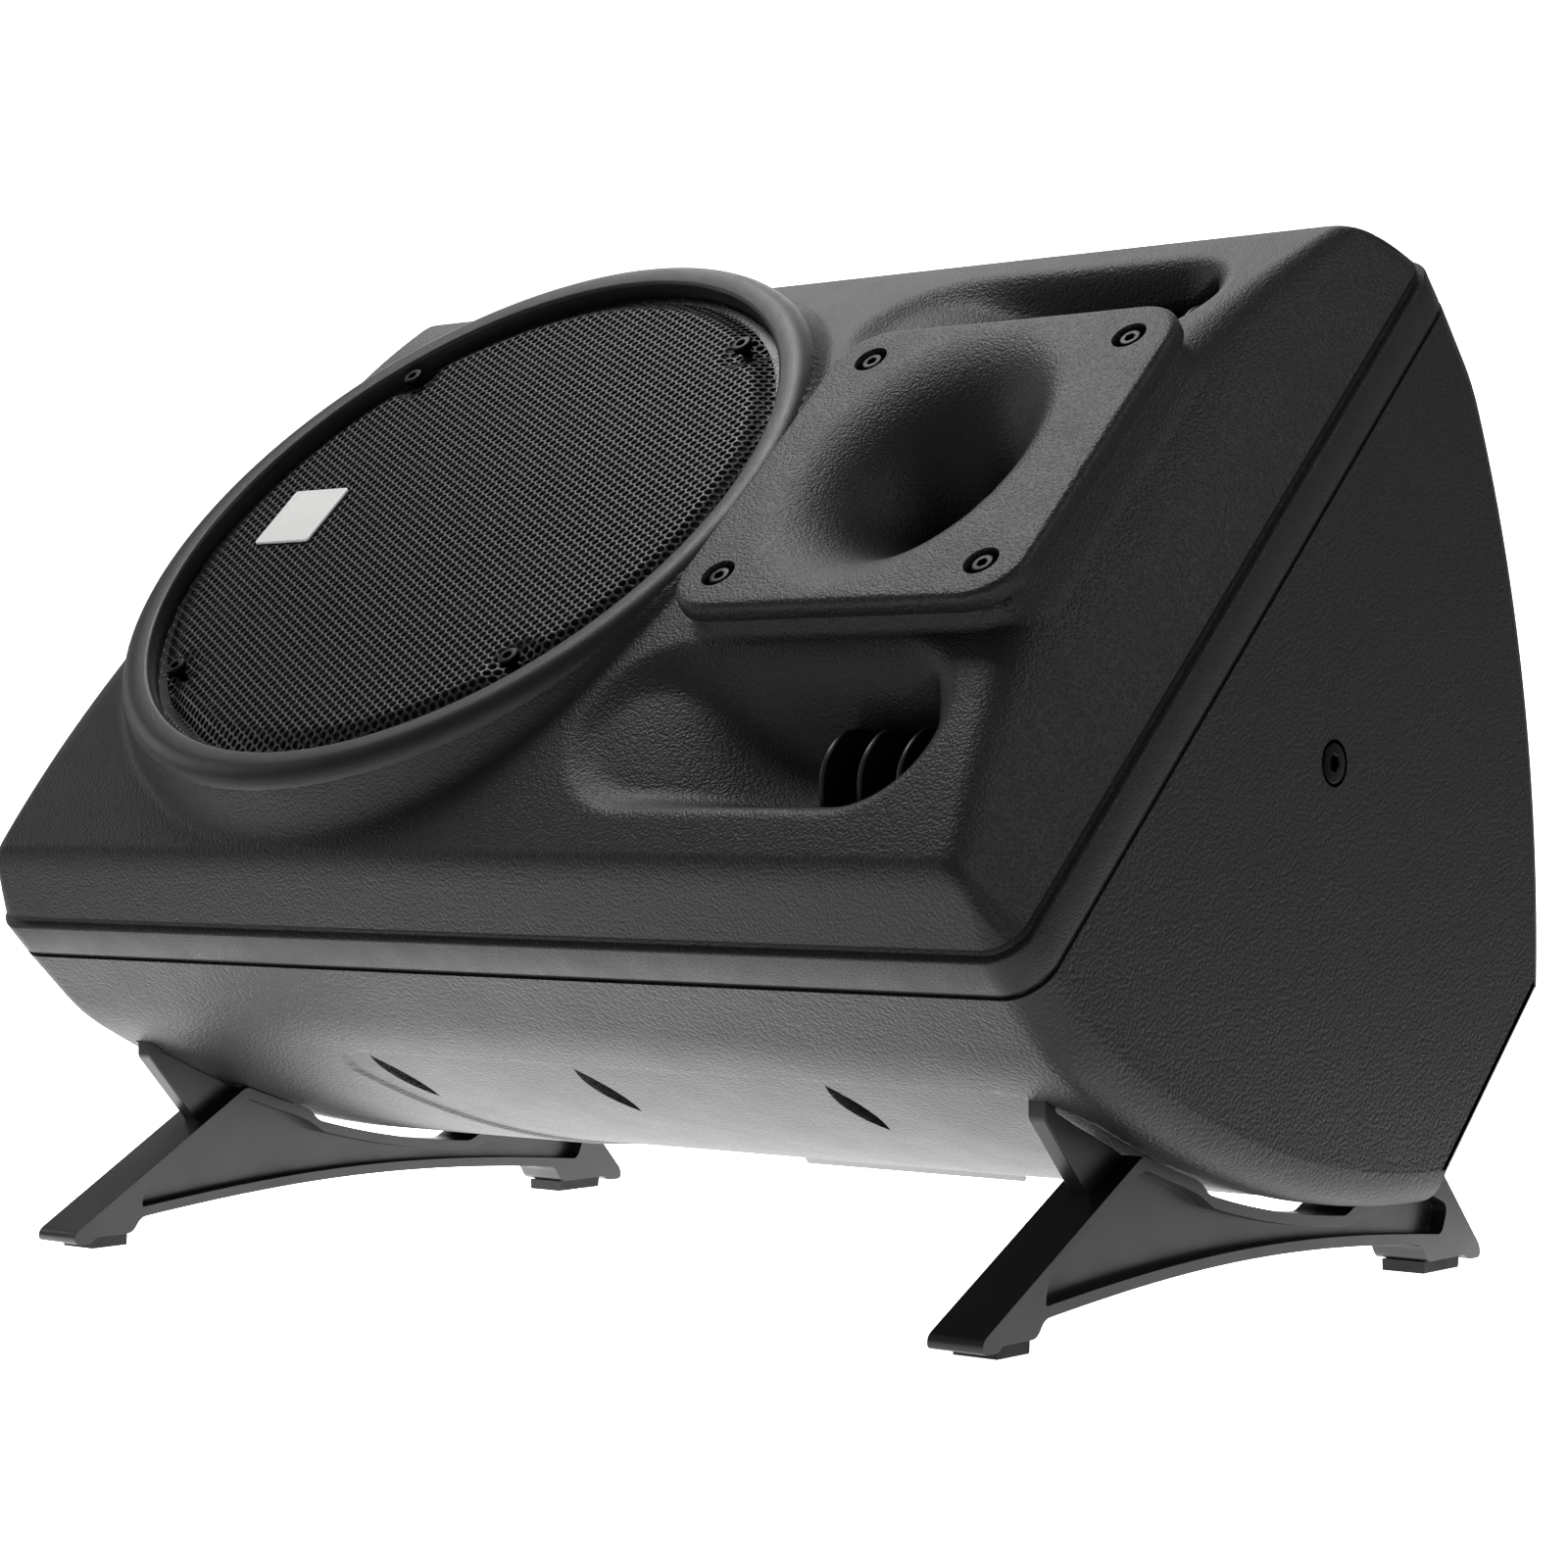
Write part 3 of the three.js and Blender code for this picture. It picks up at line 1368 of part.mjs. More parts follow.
function foot() {
  const { thickness, web, hookThickness } = FOOT;
  const half = thickness / 2;
  const outline = footOutline();
  const side = (thickness - web) / 2;
  const body = cut(
    solid(prismAlongX(outline, -half, half)),
    hollow(-half - 1, -half + side),
    hollow(half - side, half + 1),
  );
  const hook = solid(prismAlongX(hookOutline(), -hookThickness / 2, hookThickness / 2));
  return join(body, hook);
}

// A rubber block with ribs across it, its top at the foot's underside.
function pad(length) {
  const { width, height, ribs, rib } = PAD;
  const pitch = length / ribs;
  const teeth = Array.from({ length: ribs }, (_, i) => [
    [i * pitch + 0.5, 0],
    [(i + 1) * pitch - 0.9, 0],
    [(i + 1) * pitch - 0.2, rib],
  ]).flat();
  return prismAlongX([[0, 0], ...teeth, [length, height], [0, height]], -width / 2, width / 2);
}

// Each pad stands a little ahead of its end of the foot, where the underside is cut level for it.
const padStarts = () => {
  const toeY = toFloor(CREASE)[0] - FOOT.toeReach;
  const heelY = toFloor(BACK_EDGE)[0] + FOOT.heelReach;
  return { front: toeY + 12, rear: heelY - PAD.rear - 14 };
};

function footWithSeats() {
  const starts = padStarts();
  const level = PAD.height + GAP;
  const seat = (start, length) => [
    solid(block(-PAD.width / 2 - 1, PAD.width / 2 + 1, start - GAP, start + length + GAP, 0, level)),
    solid(block(-PAD.width / 2, PAD.width / 2, start + 1, start + length - 1, level, level + 6)),
  ];
  const [frontCut, frontFill] = seat(starts.front, PAD.front);
  const [rearCut, rearFill] = seat(starts.rear, PAD.rear);
  return cut(join(foot(), frontFill, rearFill), frontCut, rearCut);
}

const footGeometry = geometryOf(footWithSeats());
for (const { name, x } of footPlaces()) {
  add(stand, name, footGeometry, smoothPlastic, x);
  add(stand, `${name}_front_pad`, pad(PAD.front), rubber, x, padStarts().front);
  add(stand, `${name}_rear_pad`, pad(PAD.rear), rubber, x, padStarts().rear);
}

// ---------------------------------------------------------------- origin

// The part's origin is the middle of its footprint, on the floor.
wedge.updateMatrixWorld(true);
const bounds = new THREE.Box3().setFromObject(wedge, true);
const middle = bounds.getCenter(new THREE.Vector3());
wedge.position.set(-middle.x, -middle.y, -bounds.min.z);

export default wedge;
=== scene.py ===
"""A stage monitor wedge's visible surfaces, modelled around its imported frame."""

import json
import math

import bpy
import numpy as np
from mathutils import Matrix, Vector


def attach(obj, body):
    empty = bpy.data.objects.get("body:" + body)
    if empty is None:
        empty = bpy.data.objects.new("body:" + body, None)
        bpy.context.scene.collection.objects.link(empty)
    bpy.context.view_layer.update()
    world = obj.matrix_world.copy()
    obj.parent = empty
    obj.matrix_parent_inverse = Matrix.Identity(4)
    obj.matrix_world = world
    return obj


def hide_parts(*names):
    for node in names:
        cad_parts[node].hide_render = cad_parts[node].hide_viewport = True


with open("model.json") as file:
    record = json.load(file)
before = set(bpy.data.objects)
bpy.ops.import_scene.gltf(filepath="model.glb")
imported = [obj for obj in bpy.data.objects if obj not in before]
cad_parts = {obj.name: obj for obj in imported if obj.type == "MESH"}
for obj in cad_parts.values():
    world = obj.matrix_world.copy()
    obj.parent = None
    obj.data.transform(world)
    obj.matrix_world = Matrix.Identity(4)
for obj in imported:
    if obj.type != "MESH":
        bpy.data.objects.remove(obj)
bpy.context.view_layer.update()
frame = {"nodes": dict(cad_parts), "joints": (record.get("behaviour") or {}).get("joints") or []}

bl_info = {
    "name": "Stage monitor wedge",
    "version": (1, 0, 0),
    "blender": (4, 5, 0),
    "location": "3D View > Sidebar > Wedge",
    "description": "Builds the moulded shells, horn, grille, feet and finishes of a stage monitor",
    "category": "Object",
}

MM = 0.001

# ---------------------------------------------------------------- the cabinet's own frame
# Millimetres: x along the cabinet, y up the baffle, z out of it. z = 0 is the seam between the
# shells, and x = y = 0 is the woofer's axis.

JOINTS = {joint["name"]: joint for joint in frame["joints"]}
OUT_OF_BAFFLE = JOINTS["woofer_travel"]["axis"]
SINE, COSINE = -OUT_OF_BAFFLE[1], OUT_OF_BAFFLE[2]
TURN = np.array([[1, 0, 0], [0, COSINE, SINE], [0, -SINE, COSINE]])


def node_points(name):
    """A CAD node's vertices in the part's frame, in millimetres."""
    return np.array([v.co for v in frame["nodes"][name].data.vertices]) / MM


def turned_box(name):
    """A CAD node's lowest and highest corner, turned so that the baffle lies flat."""
    points = node_points(name) @ TURN.T
    return points.min(0), points.max(0)


def cabinet_origin():
    """The woofer's axis where it meets the seam, in turned millimetres."""
    low, high = turned_box("grille")
    seam = turned_box("front_shell")[0][2]
    return np.array([(low[0] + high[0]) / 2, (low[1] + high[1]) / 2, seam])


ORIGIN = cabinet_origin()


def cabinet_box(name):
    """A CAD node's lowest and highest corner in the cabinet's frame."""
    low, high = turned_box(name)
    return low - ORIGIN, high - ORIGIN


def cabinet_centre(name):
    low, high = cabinet_box(name)
    return (low + high) / 2


def to_part(points):
    """Cabinet millimetres to the part's frame in metres."""
    return (np.asarray(points, float) + ORIGIN) @ TURN * MM


def floor_of(points):
    """Cabinet [y, z] points as the part's [y, height], in millimetres."""
    flat = np.column_stack([np.zeros(len(points)), np.asarray(points, float)])
    return to_part(flat)[:, 1:] / MM


FRONT_LOW, FRONT_HIGH = cabinet_box("front_shell")
REAR_LOW, REAR_HIGH = cabinet_box("rear_shell")
HORN_LOW, HORN_HIGH = cabinet_box("horn_waveguide")
LEFT, RIGHT = FRONT_LOW[0], FRONT_HIGH[0]
MIDDLE, HALF_LENGTH = (LEFT + RIGHT) / 2, (RIGHT - LEFT) / 2
HALF_WIDTH = FRONT_HIGH[1]
RIM_TOP = FRONT_HIGH[2]
BACK_Z, SEAM_Z = REAR_LOW[2], REAR_HIGH[2]
FEET = ("foot_right", "foot_left")
HORN_X = (HORN_LOW[0] + HORN_HIGH[0]) / 2
PLATE_LOW = cabinet_box("horn_gasket")[1][2] + 0.3  # a hair over the gasket
PLATE_TOP = HORN_HIGH[2]

# ---------------------------------------------------------------- sizes in millimetres

CORNER = 17
STEP_IN, STEP_Z = 3, 20.5  # where the slanted sides start
RIDGE_IN, RIDGE_Z = 15, 49
CROWN = 76
END_RIDGE_Z = 60
LEFT_RIDGE_IN, RIGHT_RIDGE_IN = 20, 26
END_ROLL = 19
RIM_BORE, RIM_OUTER, RIM_SEAT, RIM_SHOULDER = 155, 172, 151, 9
# The baffle's rise to the rim, and the raised bed under the horn's plate.
FILLET = {"slope": 2.7, "start": RIM_OUTER - 4, "below_rim": 4, "blend": 9}
PEDESTAL = {"top": 78, "overhang": 4, "corner": 18, "slope": 4.5, "blend": 7}
SCOOP = {
    "left": 154, "right": 316, "inner": 96, "outer": 155, "spread": 3, "corner": 34,
    "start": 3, "floor": 29, "duct": 262, "lead": 8, "steepness": 2.4, "hollow": 22, "lip": 22,
}
SCOOP_Y = (SCOOP["inner"] + SCOOP["outer"]) / 2
# The duct's mouth in the scoop's floor.
WELL = {"x": 286, "half": (26, 25), "corner": 9, "depth": 26, "wall": 3.5, "ledge": 4.5}
MOUTH_HALF_LENGTH, MOUTH_HALF_WIDTH, THROAT, HORN_DEPTH, FLARE = 50, 65, 12.7, 78, 2.3
HORN_WALL = 3.5
HORN_PLATE = {"corner": 22, "edge": 3.4}
HORN_BORE = {"radius": 7.2, "mouth": 8, "depth": 5.2, "chamfer": 0.6}  # around each screw
CREASE = (-199, -42)  # y and z of the rear shell's widest fold
CREASE_BLEND = 11
BACK_HALF_WIDTH = 60
BELLY_SAGITTA = 17
SHELL_WALL, SKIN_WALL = 5, 2.5
END_KINK, END_STEPS, ROW_SPACING = 9, 15, 2.6  # the rear shell's rounded ends and its rows
# The rear shell's sunk panels: middle along the cabinet and around the section, then half sizes.
BELLY_PANEL = {"at": (152, 190), "half": (196, 130), "corner": 34, "depth": 1.5, "wall": 2.2}
SLOT_XS, SLOT_LENGTH, SLOT_WIDTH, SLOT_SHARE, SLOT_LEAN = (-21, 98, 230), 54, 11, 0.205, -0.12
SLOT_DEPTH, HOOK_DEPTH, HOOK_HALF = 8, 12, (5, 4.5)
SLOT_OVER, HOOK_OVER = 12, 9  # how far their cutters reach out of the skin
HOOK_SHARE = 0.115  # how far round the belly the hook pockets are
RECESS_RADIUS, RECESS_DEPTH, BACK_LEDGE = 9.5, 3.6, 9
GRILLE_FLAT, GRILLE_DIMPLE, DIMPLE_REACH, DIMPLE_SLOPE = 138, 3, 15, 10
HOLE_SIDES, HOLE_CHAMFER = 12, 0.12
BADGE_CORNER, BADGE_BEVEL = 1.6, 0.35
CONE_NECK, CONE_WALL, CAP_WALL = 40, 1.6, 0.8
DUCT_CORNER, DUCT_WALL = 9, 4
FIN_PITCH, FIN_RISE, FIN_ROOT, FIN_THICKNESS = 18, 27, 14, 2.2
SCREW_SIDES, SCREW_ROUND = 48, 0.7

# ---------------------------------------------------------------- settings


class WedgeShellSettings(bpy.types.PropertyGroup):
    """Sizes and colours of the moulded cabinet."""

    colour: bpy.props.StringProperty(
        name="Plastic", description="sRGB hex of the moulded shells", default="161617")
    grain: bpy.props.FloatProperty(
        name="Grain", description="Width of one cell of the leather grain",
        default=0.00115, min=0.0005, max=0.01, unit="LENGTH")
    grain_depth: bpy.props.FloatProperty(
        name="Grain depth", description="Height of the leather grain",
        default=0.0003, min=0, max=0.001, unit="LENGTH")
    ridge_softness: bpy.props.FloatProperty(
        name="Ridge softness", description="Blend between the baffle and its slanted sides",
        default=0.011, min=0.001, max=0.03, unit="LENGTH")


class WedgeGrilleSettings(bpy.types.PropertyGroup):
    """The perforated sheet in front of the woofer."""

    pitch: bpy.props.FloatProperty(
        name="Hole pitch", description="Distance between neighbouring holes",
        default=0.00415, min=0.003, max=0.01, unit="LENGTH")
    hole: bpy.props.FloatProperty(
        name="Hole diameter", description="Diameter of each punched hole",
        default=0.0033, min=0.002, max=0.009, unit="LENGTH")
    thickness: bpy.props.FloatProperty(
        name="Sheet", description="Thickness of the steel sheet",
        default=0.0012, min=0.0005, max=0.003, unit="LENGTH")


class WedgeStageSettings(bpy.types.PropertyGroup):
    """Floor, lights and camera."""

    floor_colour: bpy.props.StringProperty(
        name="Floor", description="sRGB hex of the sweep", default="fdfdfd")
    lens: bpy.props.FloatProperty(
        name="Lens", description="Focal length on a 36 mm sensor",
        default=85, min=20, max=200, unit="CAMERA")


# ---------------------------------------------------------------- materials


def linear(hex_colour):
    """An sRGB hex colour as linear RGBA."""
    channels = [int(hex_colour[i : i + 2], 16) / 255 for i in (0, 2, 4)]
    return [c / 12.92 if c <= 0.04045 else ((c + 0.055) / 1.055) ** 2.4 for c in channels] + [1]


def add_node(tree, kind, settings=None, inputs=None):
    """A new node with its settings; an input's value is a number, a colour or another node's socket."""
    made = tree.nodes.new(kind)
    for name, value in (settings or {}).items():
        setattr(made, name, value)
    for name, value in (inputs or {}).items():
        if isinstance(value, bpy.types.NodeSocket):
            tree.links.new(value, made.inputs[name])
        else:
            made.inputs[name].default_value = value
    return made


def new_look(name, constants):
    """An empty material: its tree, its shader, and the object's own coordinates."""
    look = bpy.data.materials.new(name)
    look.use_nodes = True
    tree = look.node_tree
    shader = tree.nodes["Principled BSDF"]
    for socket, value in constants.items():
        shader.inputs[socket].default_value = value
    return look, tree, shader, add_node(tree, "ShaderNodeTexCoord").outputs["Object"]


def roughen(tree, shader, coordinates, scale, low, high):
    """Lets the roughness wander between two values over patches of the given scale."""
    patches = add_node(tree, "ShaderNodeTexNoise", {}, {
        "Vector": coordinates, "Scale": scale, "Detail": 3.0, "Roughness": 0.6})
    spread = add_node(tree, "ShaderNodeMapRange", {}, {
        "Value": patches.outputs["Fac"], "From Min": 0.3, "From Max": 0.7,
        "To Min": low, "To Max": high})
    tree.links.new(spread.outputs["Result"], shader.inputs["Roughness"])


def tint(tree, shader, coordinates, scale, dark, light):
    """Lets the colour wander between two hex colours."""
    patches = add_node(tree, "ShaderNodeTexNoise", {}, {
        "Vector": coordinates, "Scale": scale, "Detail": 4.0, "Roughness": 0.65})
    mix = add_node(tree, "ShaderNodeMix", {"data_type": "RGBA"}, {
        0: patches.outputs["Fac"], 6: linear(dark), 7: linear(light)})
    tree.links.new(mix.outputs[2], shader.inputs["Base Color"])


def leather_grain(tree, shader, coordinates, cell, depth):
    """Raised pads with fine creases between them, as etched into a mould."""
    warp = add_node(tree, "ShaderNodeTexNoise", {}, {
        "Vector": coordinates, "Scale": 0.6 / cell, "Detail": 2.0})
    shift = add_node(tree, "ShaderNodeVectorMath", {"operation": "MULTIPLY_ADD"}, {
        0: warp.outputs["Color"], 1: (cell, cell, cell), 2: coordinates})
    pads = add_node(tree, "ShaderNodeTexVoronoi", {"feature": "SMOOTH_F1"}, {
        "Vector": shift.outputs["Vector"], "Scale": 1 / cell, "Smoothness": 0.6})
    bump = add_node(tree, "ShaderNodeBump", {"invert": True}, {
        "Height": pads.outputs["Distance"], "Distance": depth, "Strength": 1.0})
    tree.links.new(bump.outputs["Normal"], shader.inputs["Normal"])


POLYPROPYLENE = {"IOR": 1.49, "Specular IOR Level": 0.32}


def grained_polypropylene(shell, name, coarseness):
    # Injection-moulded polypropylene with an etched leather grain: charcoal black, a dull sheen
    # that breaks up into tiny glints where light skims it.
    look, tree, shader, here = new_look(name, POLYPROPYLENE)
    tint(tree, shader, here, 9, "131314", shell.colour)
    roughen(tree, shader, here, 40, 0.46, 0.50)
    leather_grain(tree, shader, here, shell.grain * coarseness, shell.grain_depth * coarseness)
    return look


def rippled_polypropylene(shell):
    # The same plastic with the belt's finer etch: a quieter sheen than the shell's.
    look, tree, shader, here = new_look("polypropylene_moulded_ripple", POLYPROPYLENE)
    tint(tree, shader, here, 30, "121213", shell.colour)
    roughen(tree, shader, here, 60, 0.38, 0.48)
    leather_grain(tree, shader, here, shell.grain * 0.6, shell.grain_depth * 0.8)
    return look


def smooth_polypropylene(shell):
    # The grille's rim: a faint sandblasted mould face, smoother and a touch glossier than the shell.
    look, tree, shader, here = new_look(
        "polypropylene_moulded_sandblast", {"IOR": 1.49, "Specular IOR Level": 0.35})
    tint(tree, shader, here, 14, "121213", shell.colour)
    roughen(tree, shader, here, 120, 0.36, 0.44)
    leather_grain(tree, shader, here, shell.grain * 0.45, shell.grain_depth * 0.3)
    return look


def satin_abs():
    # ABS from a lightly polished mould: near black, even satin, with faint draw marks.
    look, tree, shader, here = new_look("abs_moulded_satin", {"IOR": 1.53, "Specular IOR Level": 0.4})
    tint(tree, shader, here, 25, "0c0c0d", "121213")
    stretched = add_node(tree, "ShaderNodeMapping", {}, {"Vector": here, "Scale": (900, 60, 60)})
    marks = add_node(tree, "ShaderNodeTexNoise", {}, {
        "Vector": stretched.outputs["Vector"], "Scale": 1.0})
    bump = add_node(tree, "ShaderNodeBump", {}, {
        "Height": marks.outputs["Fac"], "Distance": 0.00004, "Strength": 0.5})
    tree.links.new(bump.outputs["Normal"], shader.inputs["Normal"])
    roughen(tree, shader, here, 35, 0.30, 0.40)
    return look


def powder_coated_steel():
    # Punched sheet with a glossy black powder coat: bright glints along every hole's edge.
    look, tree, shader, here = new_look(
        "steel_punched_powder_coat", {"IOR": 1.5, "Specular IOR Level": 0.4})
    tint(tree, shader, here, 60, "060607", "0b0b0c")
    roughen(tree, shader, here, 300, 0.34, 0.44)
    return look


def metal(name, dark, light, low, high, scale=80, stretch=None):
    """Bare or plated metal whose polish wanders, with brush lines where it has a stretch."""
    look, tree, shader, here = new_look(name, {"Metallic": 1.0})
    tint(tree, shader, here, scale, dark, light)
    if stretch:
        mapped = add_node(tree, "ShaderNodeMapping", {}, {"Vector": here, "Scale": stretch})
        lines = add_node(tree, "ShaderNodeTexNoise", {}, {
            "Vector": mapped.outputs["Vector"], "Scale": 1.0, "Detail": 6.0, "Roughness": 0.7})
        bump = add_node(tree, "ShaderNodeBump", {}, {
            "Height": lines.outputs["Fac"], "Distance": 0.00006, "Strength": 0.6})
        tree.links.new(bump.outputs["Normal"], shader.inputs["Normal"])
    roughen(tree, shader, here, scale, low, high)
    return look


def dull(name, dark, light, low, high, scale, cell, depth, ior=1.5):
    """A finely pitted solid that isn't bare metal, such as rubber, paper, foam or paint."""
    look, tree, shader, here = new_look(name, {"IOR": ior})
    tint(tree, shader, here, scale, dark, light)
    roughen(tree, shader, here, scale, low, high)
    leather_grain(tree, shader, here, cell, depth)
    return look


LOOKS = {}


def make_looks():
    """Makes every finish but the sweep's, under the name that the pieces ask for."""
    scene = bpy.context.scene
    shell = scene.wedge_shell
    LOOKS.update({
        "shell": grained_polypropylene(shell, "polypropylene_moulded_leather_grain", 1.0),
        "rear": grained_polypropylene(shell, "polypropylene_moulded_coarse_leather_grain", 1.35),
        "belt": rippled_polypropylene(shell),
        "rim": smooth_polypropylene(shell),
        "satin": satin_abs(),
        "grille": powder_coated_steel(),
        # Black-oxide screws: dark grey metal with a soft gloss.
        "black_steel": metal("steel_black_oxide", "0e0e10", "1c1c1f", 0.28, 0.42),
        # Bright zinc plate: pale, slightly blue, with an uneven shine.
        "zinc": metal("steel_zinc_plated", "8f9296", "b4b7ba", 0.25, 0.4),
        # Extruded aluminium, brushed lengthways: fine lines along x.
        "aluminium": metal(
            "aluminium_extruded_brushed", "56585a", "6c6e70", 0.34, 0.46, 60, (12, 2600, 2600)),
        # Moulded nitrile rubber: matt and almost black.
        "rubber": dull("rubber_moulded", "0c0c0c", "161616", 0.7, 0.85, 60, 0.0008, 0.00008),
        # Open-cell polyurethane foam: pitted, it swallows light.
        "foam": dull("foam_open_cell", "101010", "232324", 0.9, 1.0, 200, 0.002, 0.0006),
        # Pressed paper pulp dyed with carbon black: felted and matt.
        "paper": dull("paper_pulp_pressed", "111113", "1e1e21", 0.75, 0.9, 160, 0.0012, 0.0002),
        # Sintered ferrite: dark grey, stony, faintly shiny.
        "ferrite": dull("ferrite_sintered", "1c1c1e", "303034", 0.5, 0.7, 90, 0.0006, 0.00005, 1.8),
        # Enamelled copper wire: red-brown metal in fine lines.
        "copper": metal(
            "copper_enamelled_wire", "7c3f1f", "b06a3c", 0.3, 0.45, 120, (300, 300, 3000)),
        # Glass-epoxy board under solder resist: dark green, satin.
        "board": dull("glass_epoxy_solder_resist", "0f3b24", "17512f", 0.35, 0.5, 140, 0.003, 0.00003),
        # Cast acrylic painted from behind: clean white, glossy.
        "label": dull("acrylic_cast_white", "f4f4f2", "fbfbf9", 0.22, 0.3, 30, 0.004, 0.00001, 1.49),
        # Turned brass: yellow metal with lathe lines.
        "brass": metal("brass_turned", "9a7a35", "c2a257", 0.25, 0.4, 90, (40, 2000, 2000)),
        # Green polycarbonate lens: bright and glossy.
        "lamp": dull(
            "polycarbonate_moulded_green", "0f6b2a", "2fae52", 0.12, 0.2, 60, 0.004, 0.00001, 1.58),
        # Steel in fine wrinkle paint: black, broken up by small ridges.
        "panel": dull("steel_wrinkle_paint", "121213", "1c1c1d", 0.5, 0.65, 50, 0.0012, 0.00018),
    })


# ---------------------------------------------------------------- mesh helpers


def smooth_min(a, b, softness):
    """The lower of two heights, rounded where they cross."""
    share = np.clip(0.5 + 0.5 * (b - a) / softness, 0, 1)
    return b * (1 - share) + a * share - softness * share * (1 - share)


def smooth_max(a, b, softness):
    """The higher of two heights, rounded where they cross."""
    return -smooth_min(-a, -b, softness)


def ease(x):
    """A smooth step from 0 to 1."""
    x = np.clip(x, 0, 1)
    return x * x * (3 - 2 * x)


def outside(x, y, centre_x, centre_y, half_x, half_y, corner):
    """Distance outside a rounded rectangle, negative within."""
    qx = np.abs(x - centre_x) - half_x + corner
    qy = np.abs(y - centre_y) - half_y + corner
    beyond = np.hypot(np.maximum(qx, 0), np.maximum(qy, 0))
    return beyond + np.minimum(np.maximum(qx, qy), 0) - corner


def lines_between(stops):
    """Grid lines from [position, step] stops: each step holds up to the next position."""
    found = []
    for (start, step), (end, _) in zip(stops, stops[1:]):
        count = max(1, round((end - start) / step))
        found += list(np.linspace(start, end, count, endpoint=False))
    return np.array(found + [stops[-1][0]])


def grid_faces(rows, columns, wrap_rows=False, wrap_columns=False):
    """Quads between the points of a grid, numbered row by row."""
    i = np.arange(rows if wrap_rows else rows - 1)[:, None]
    j = np.arange(columns if wrap_columns else columns - 1)[None, :]
    above, beside = (i + 1) % rows * columns, (j + 1) % columns
    i = i * columns
    return np.stack([i + j, i + beside, above + beside, above + j], -1).reshape(-1, 4)


def arc_between(start, end, sagitta, count):
    """Points of an arc that stands off its chord, on the right of the way."""
    start, end = np.array(start, float), np.array(end, float)
    half = np.linalg.norm(end - start) / 2
    radius = (half**2 + sagitta**2) / (2 * sagitta)
    along = (end - start) / (2 * half)
    out = np.array([along[1], -along[0]])
    angle = math.asin(half / radius) * np.linspace(-1, 1, count)
    centre = (start + end) / 2 - out * (radius - sagitta)
    return centre + radius * (np.sin(angle)[:, None] * along + np.cos(angle)[:, None] * out)


def inward(points):
    """Mitred inward steps of unit depth at each point of an open anticlockwise outline."""
    edges = np.diff(points, axis=0)
    edges /= np.linalg.norm(edges, axis=1)[:, None]
    normals = np.column_stack([-edges[:, 1], edges[:, 0]])
    first = np.array([[np.sign(normals[0][0]), 0]])
    last = np.array([[np.sign(normals[-1][0]), 0]])
    before, after = np.vstack([first, normals]), np.vstack([normals, last])
    return (before + after) / (1 + (before * after).sum(1))[:, None]


def new_mesh(name, points, faces, looks, face_looks=None, sharp=30):
    """A smooth-shaded mesh whose edges over the sharp angle, in degrees, stay hard."""
    mesh = bpy.data.meshes.new(name)
    mesh.from_pydata(np.asarray(points).tolist(), [], [tuple(int(i) for i in f) for f in faces])
    for look in looks:
        mesh.materials.append(LOOKS[look])
    if face_looks is not None:
        mesh.polygons.foreach_set("material_index", face_looks)
    finish_shading(mesh, sharp)
    return mesh


def finish_shading(mesh, sharp):
    """Smooth shading that stops at edges over the sharp angle, in degrees."""
    mesh.shade_smooth()
    mesh.set_sharp_from_angle(angle=math.radians(sharp))
    mesh.update()


def new_piece(name, mesh, body, replaced=()):
    """A visible piece that rides a body and stands for the CAD nodes named."""
    piece = bpy.data.objects.new(name, mesh)
    bpy.context.scene.collection.objects.link(piece)
    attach(piece, body)
    if replaced:
        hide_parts(*replaced)
    return piece


def cut_mesh(name, mesh, cutters, sharp):
    """The mesh with the closed cutter meshes taken away from it."""
    scene = bpy.context.scene
    body = bpy.data.objects.new(name, mesh)
    scene.collection.objects.link(body)
    tools = []
    for index, cutter in enumerate(cutters):
        tool = bpy.data.objects.new(f"{name}_cutter_{index}", cutter)
        scene.collection.objects.link(tool)
        modifier = body.modifiers.new("cut", "BOOLEAN")
        modifier.operation, modifier.solver, modifier.object = "DIFFERENCE", "EXACT", tool
        tools.append(tool)
    cut = body.evaluated_get(bpy.context.evaluated_depsgraph_get())
    result = bpy.data.meshes.new_from_object(cut)
    for done in [body, *tools]:
        bpy.data.objects.remove(done)
    finish_shading(result, sharp)
    return result


def soften(piece, radius, segments=3):
    """Rounds the piece's sharp edges."""
    edge = piece.modifiers.new("edge", "BEVEL")
    edge.width, edge.segments, edge.limit_method = radius * MM, segments, "ANGLE"
    edge.angle_limit, edge.harden_normals = math.radians(35), False


def rounded_outline(centre_x, centre_y, half_x, half_y, corner, count=7):
    """A rounded rectangle, anticlockwise."""
    outline = []
    for side_x, side_y, start in ((1, 1, 0), (-1, 1, 90), (-1, -1, 180), (1, -1, 270)):
        centre = (centre_x + side_x * (half_x - corner), centre_y + side_y * (half_y - corner))
        outline += corner_points(centre, corner, start, start + 90, count)
    return outline


def turned_points(profile, segments, centre=(0, 0)):
    """A [radius, height] profile turned about an axis along z, as a grid of points."""
    angle = np.linspace(0, 2 * math.pi, segments, endpoint=False)
    profile = np.asarray(profile, float)
    radius, height = profile[:, :1], profile[:, 1:]
    x = centre[0] + radius * np.cos(angle)
    y = centre[1] + radius * np.sin(angle)
    return np.stack([x, y, np.broadcast_to(height, x.shape)], -1).reshape(-1, 3)


def turned_mesh(name, profile, look, centre=(0, 0), segments=96, sharp=30):
    """A closed [radius, height] profile turned about an axis along z."""
    points = turned_points(profile, segments, centre)
    faces = grid_faces(len(profile), segments, True, True)
    return new_mesh(name, to_part(points), faces, [look], sharp=sharp)


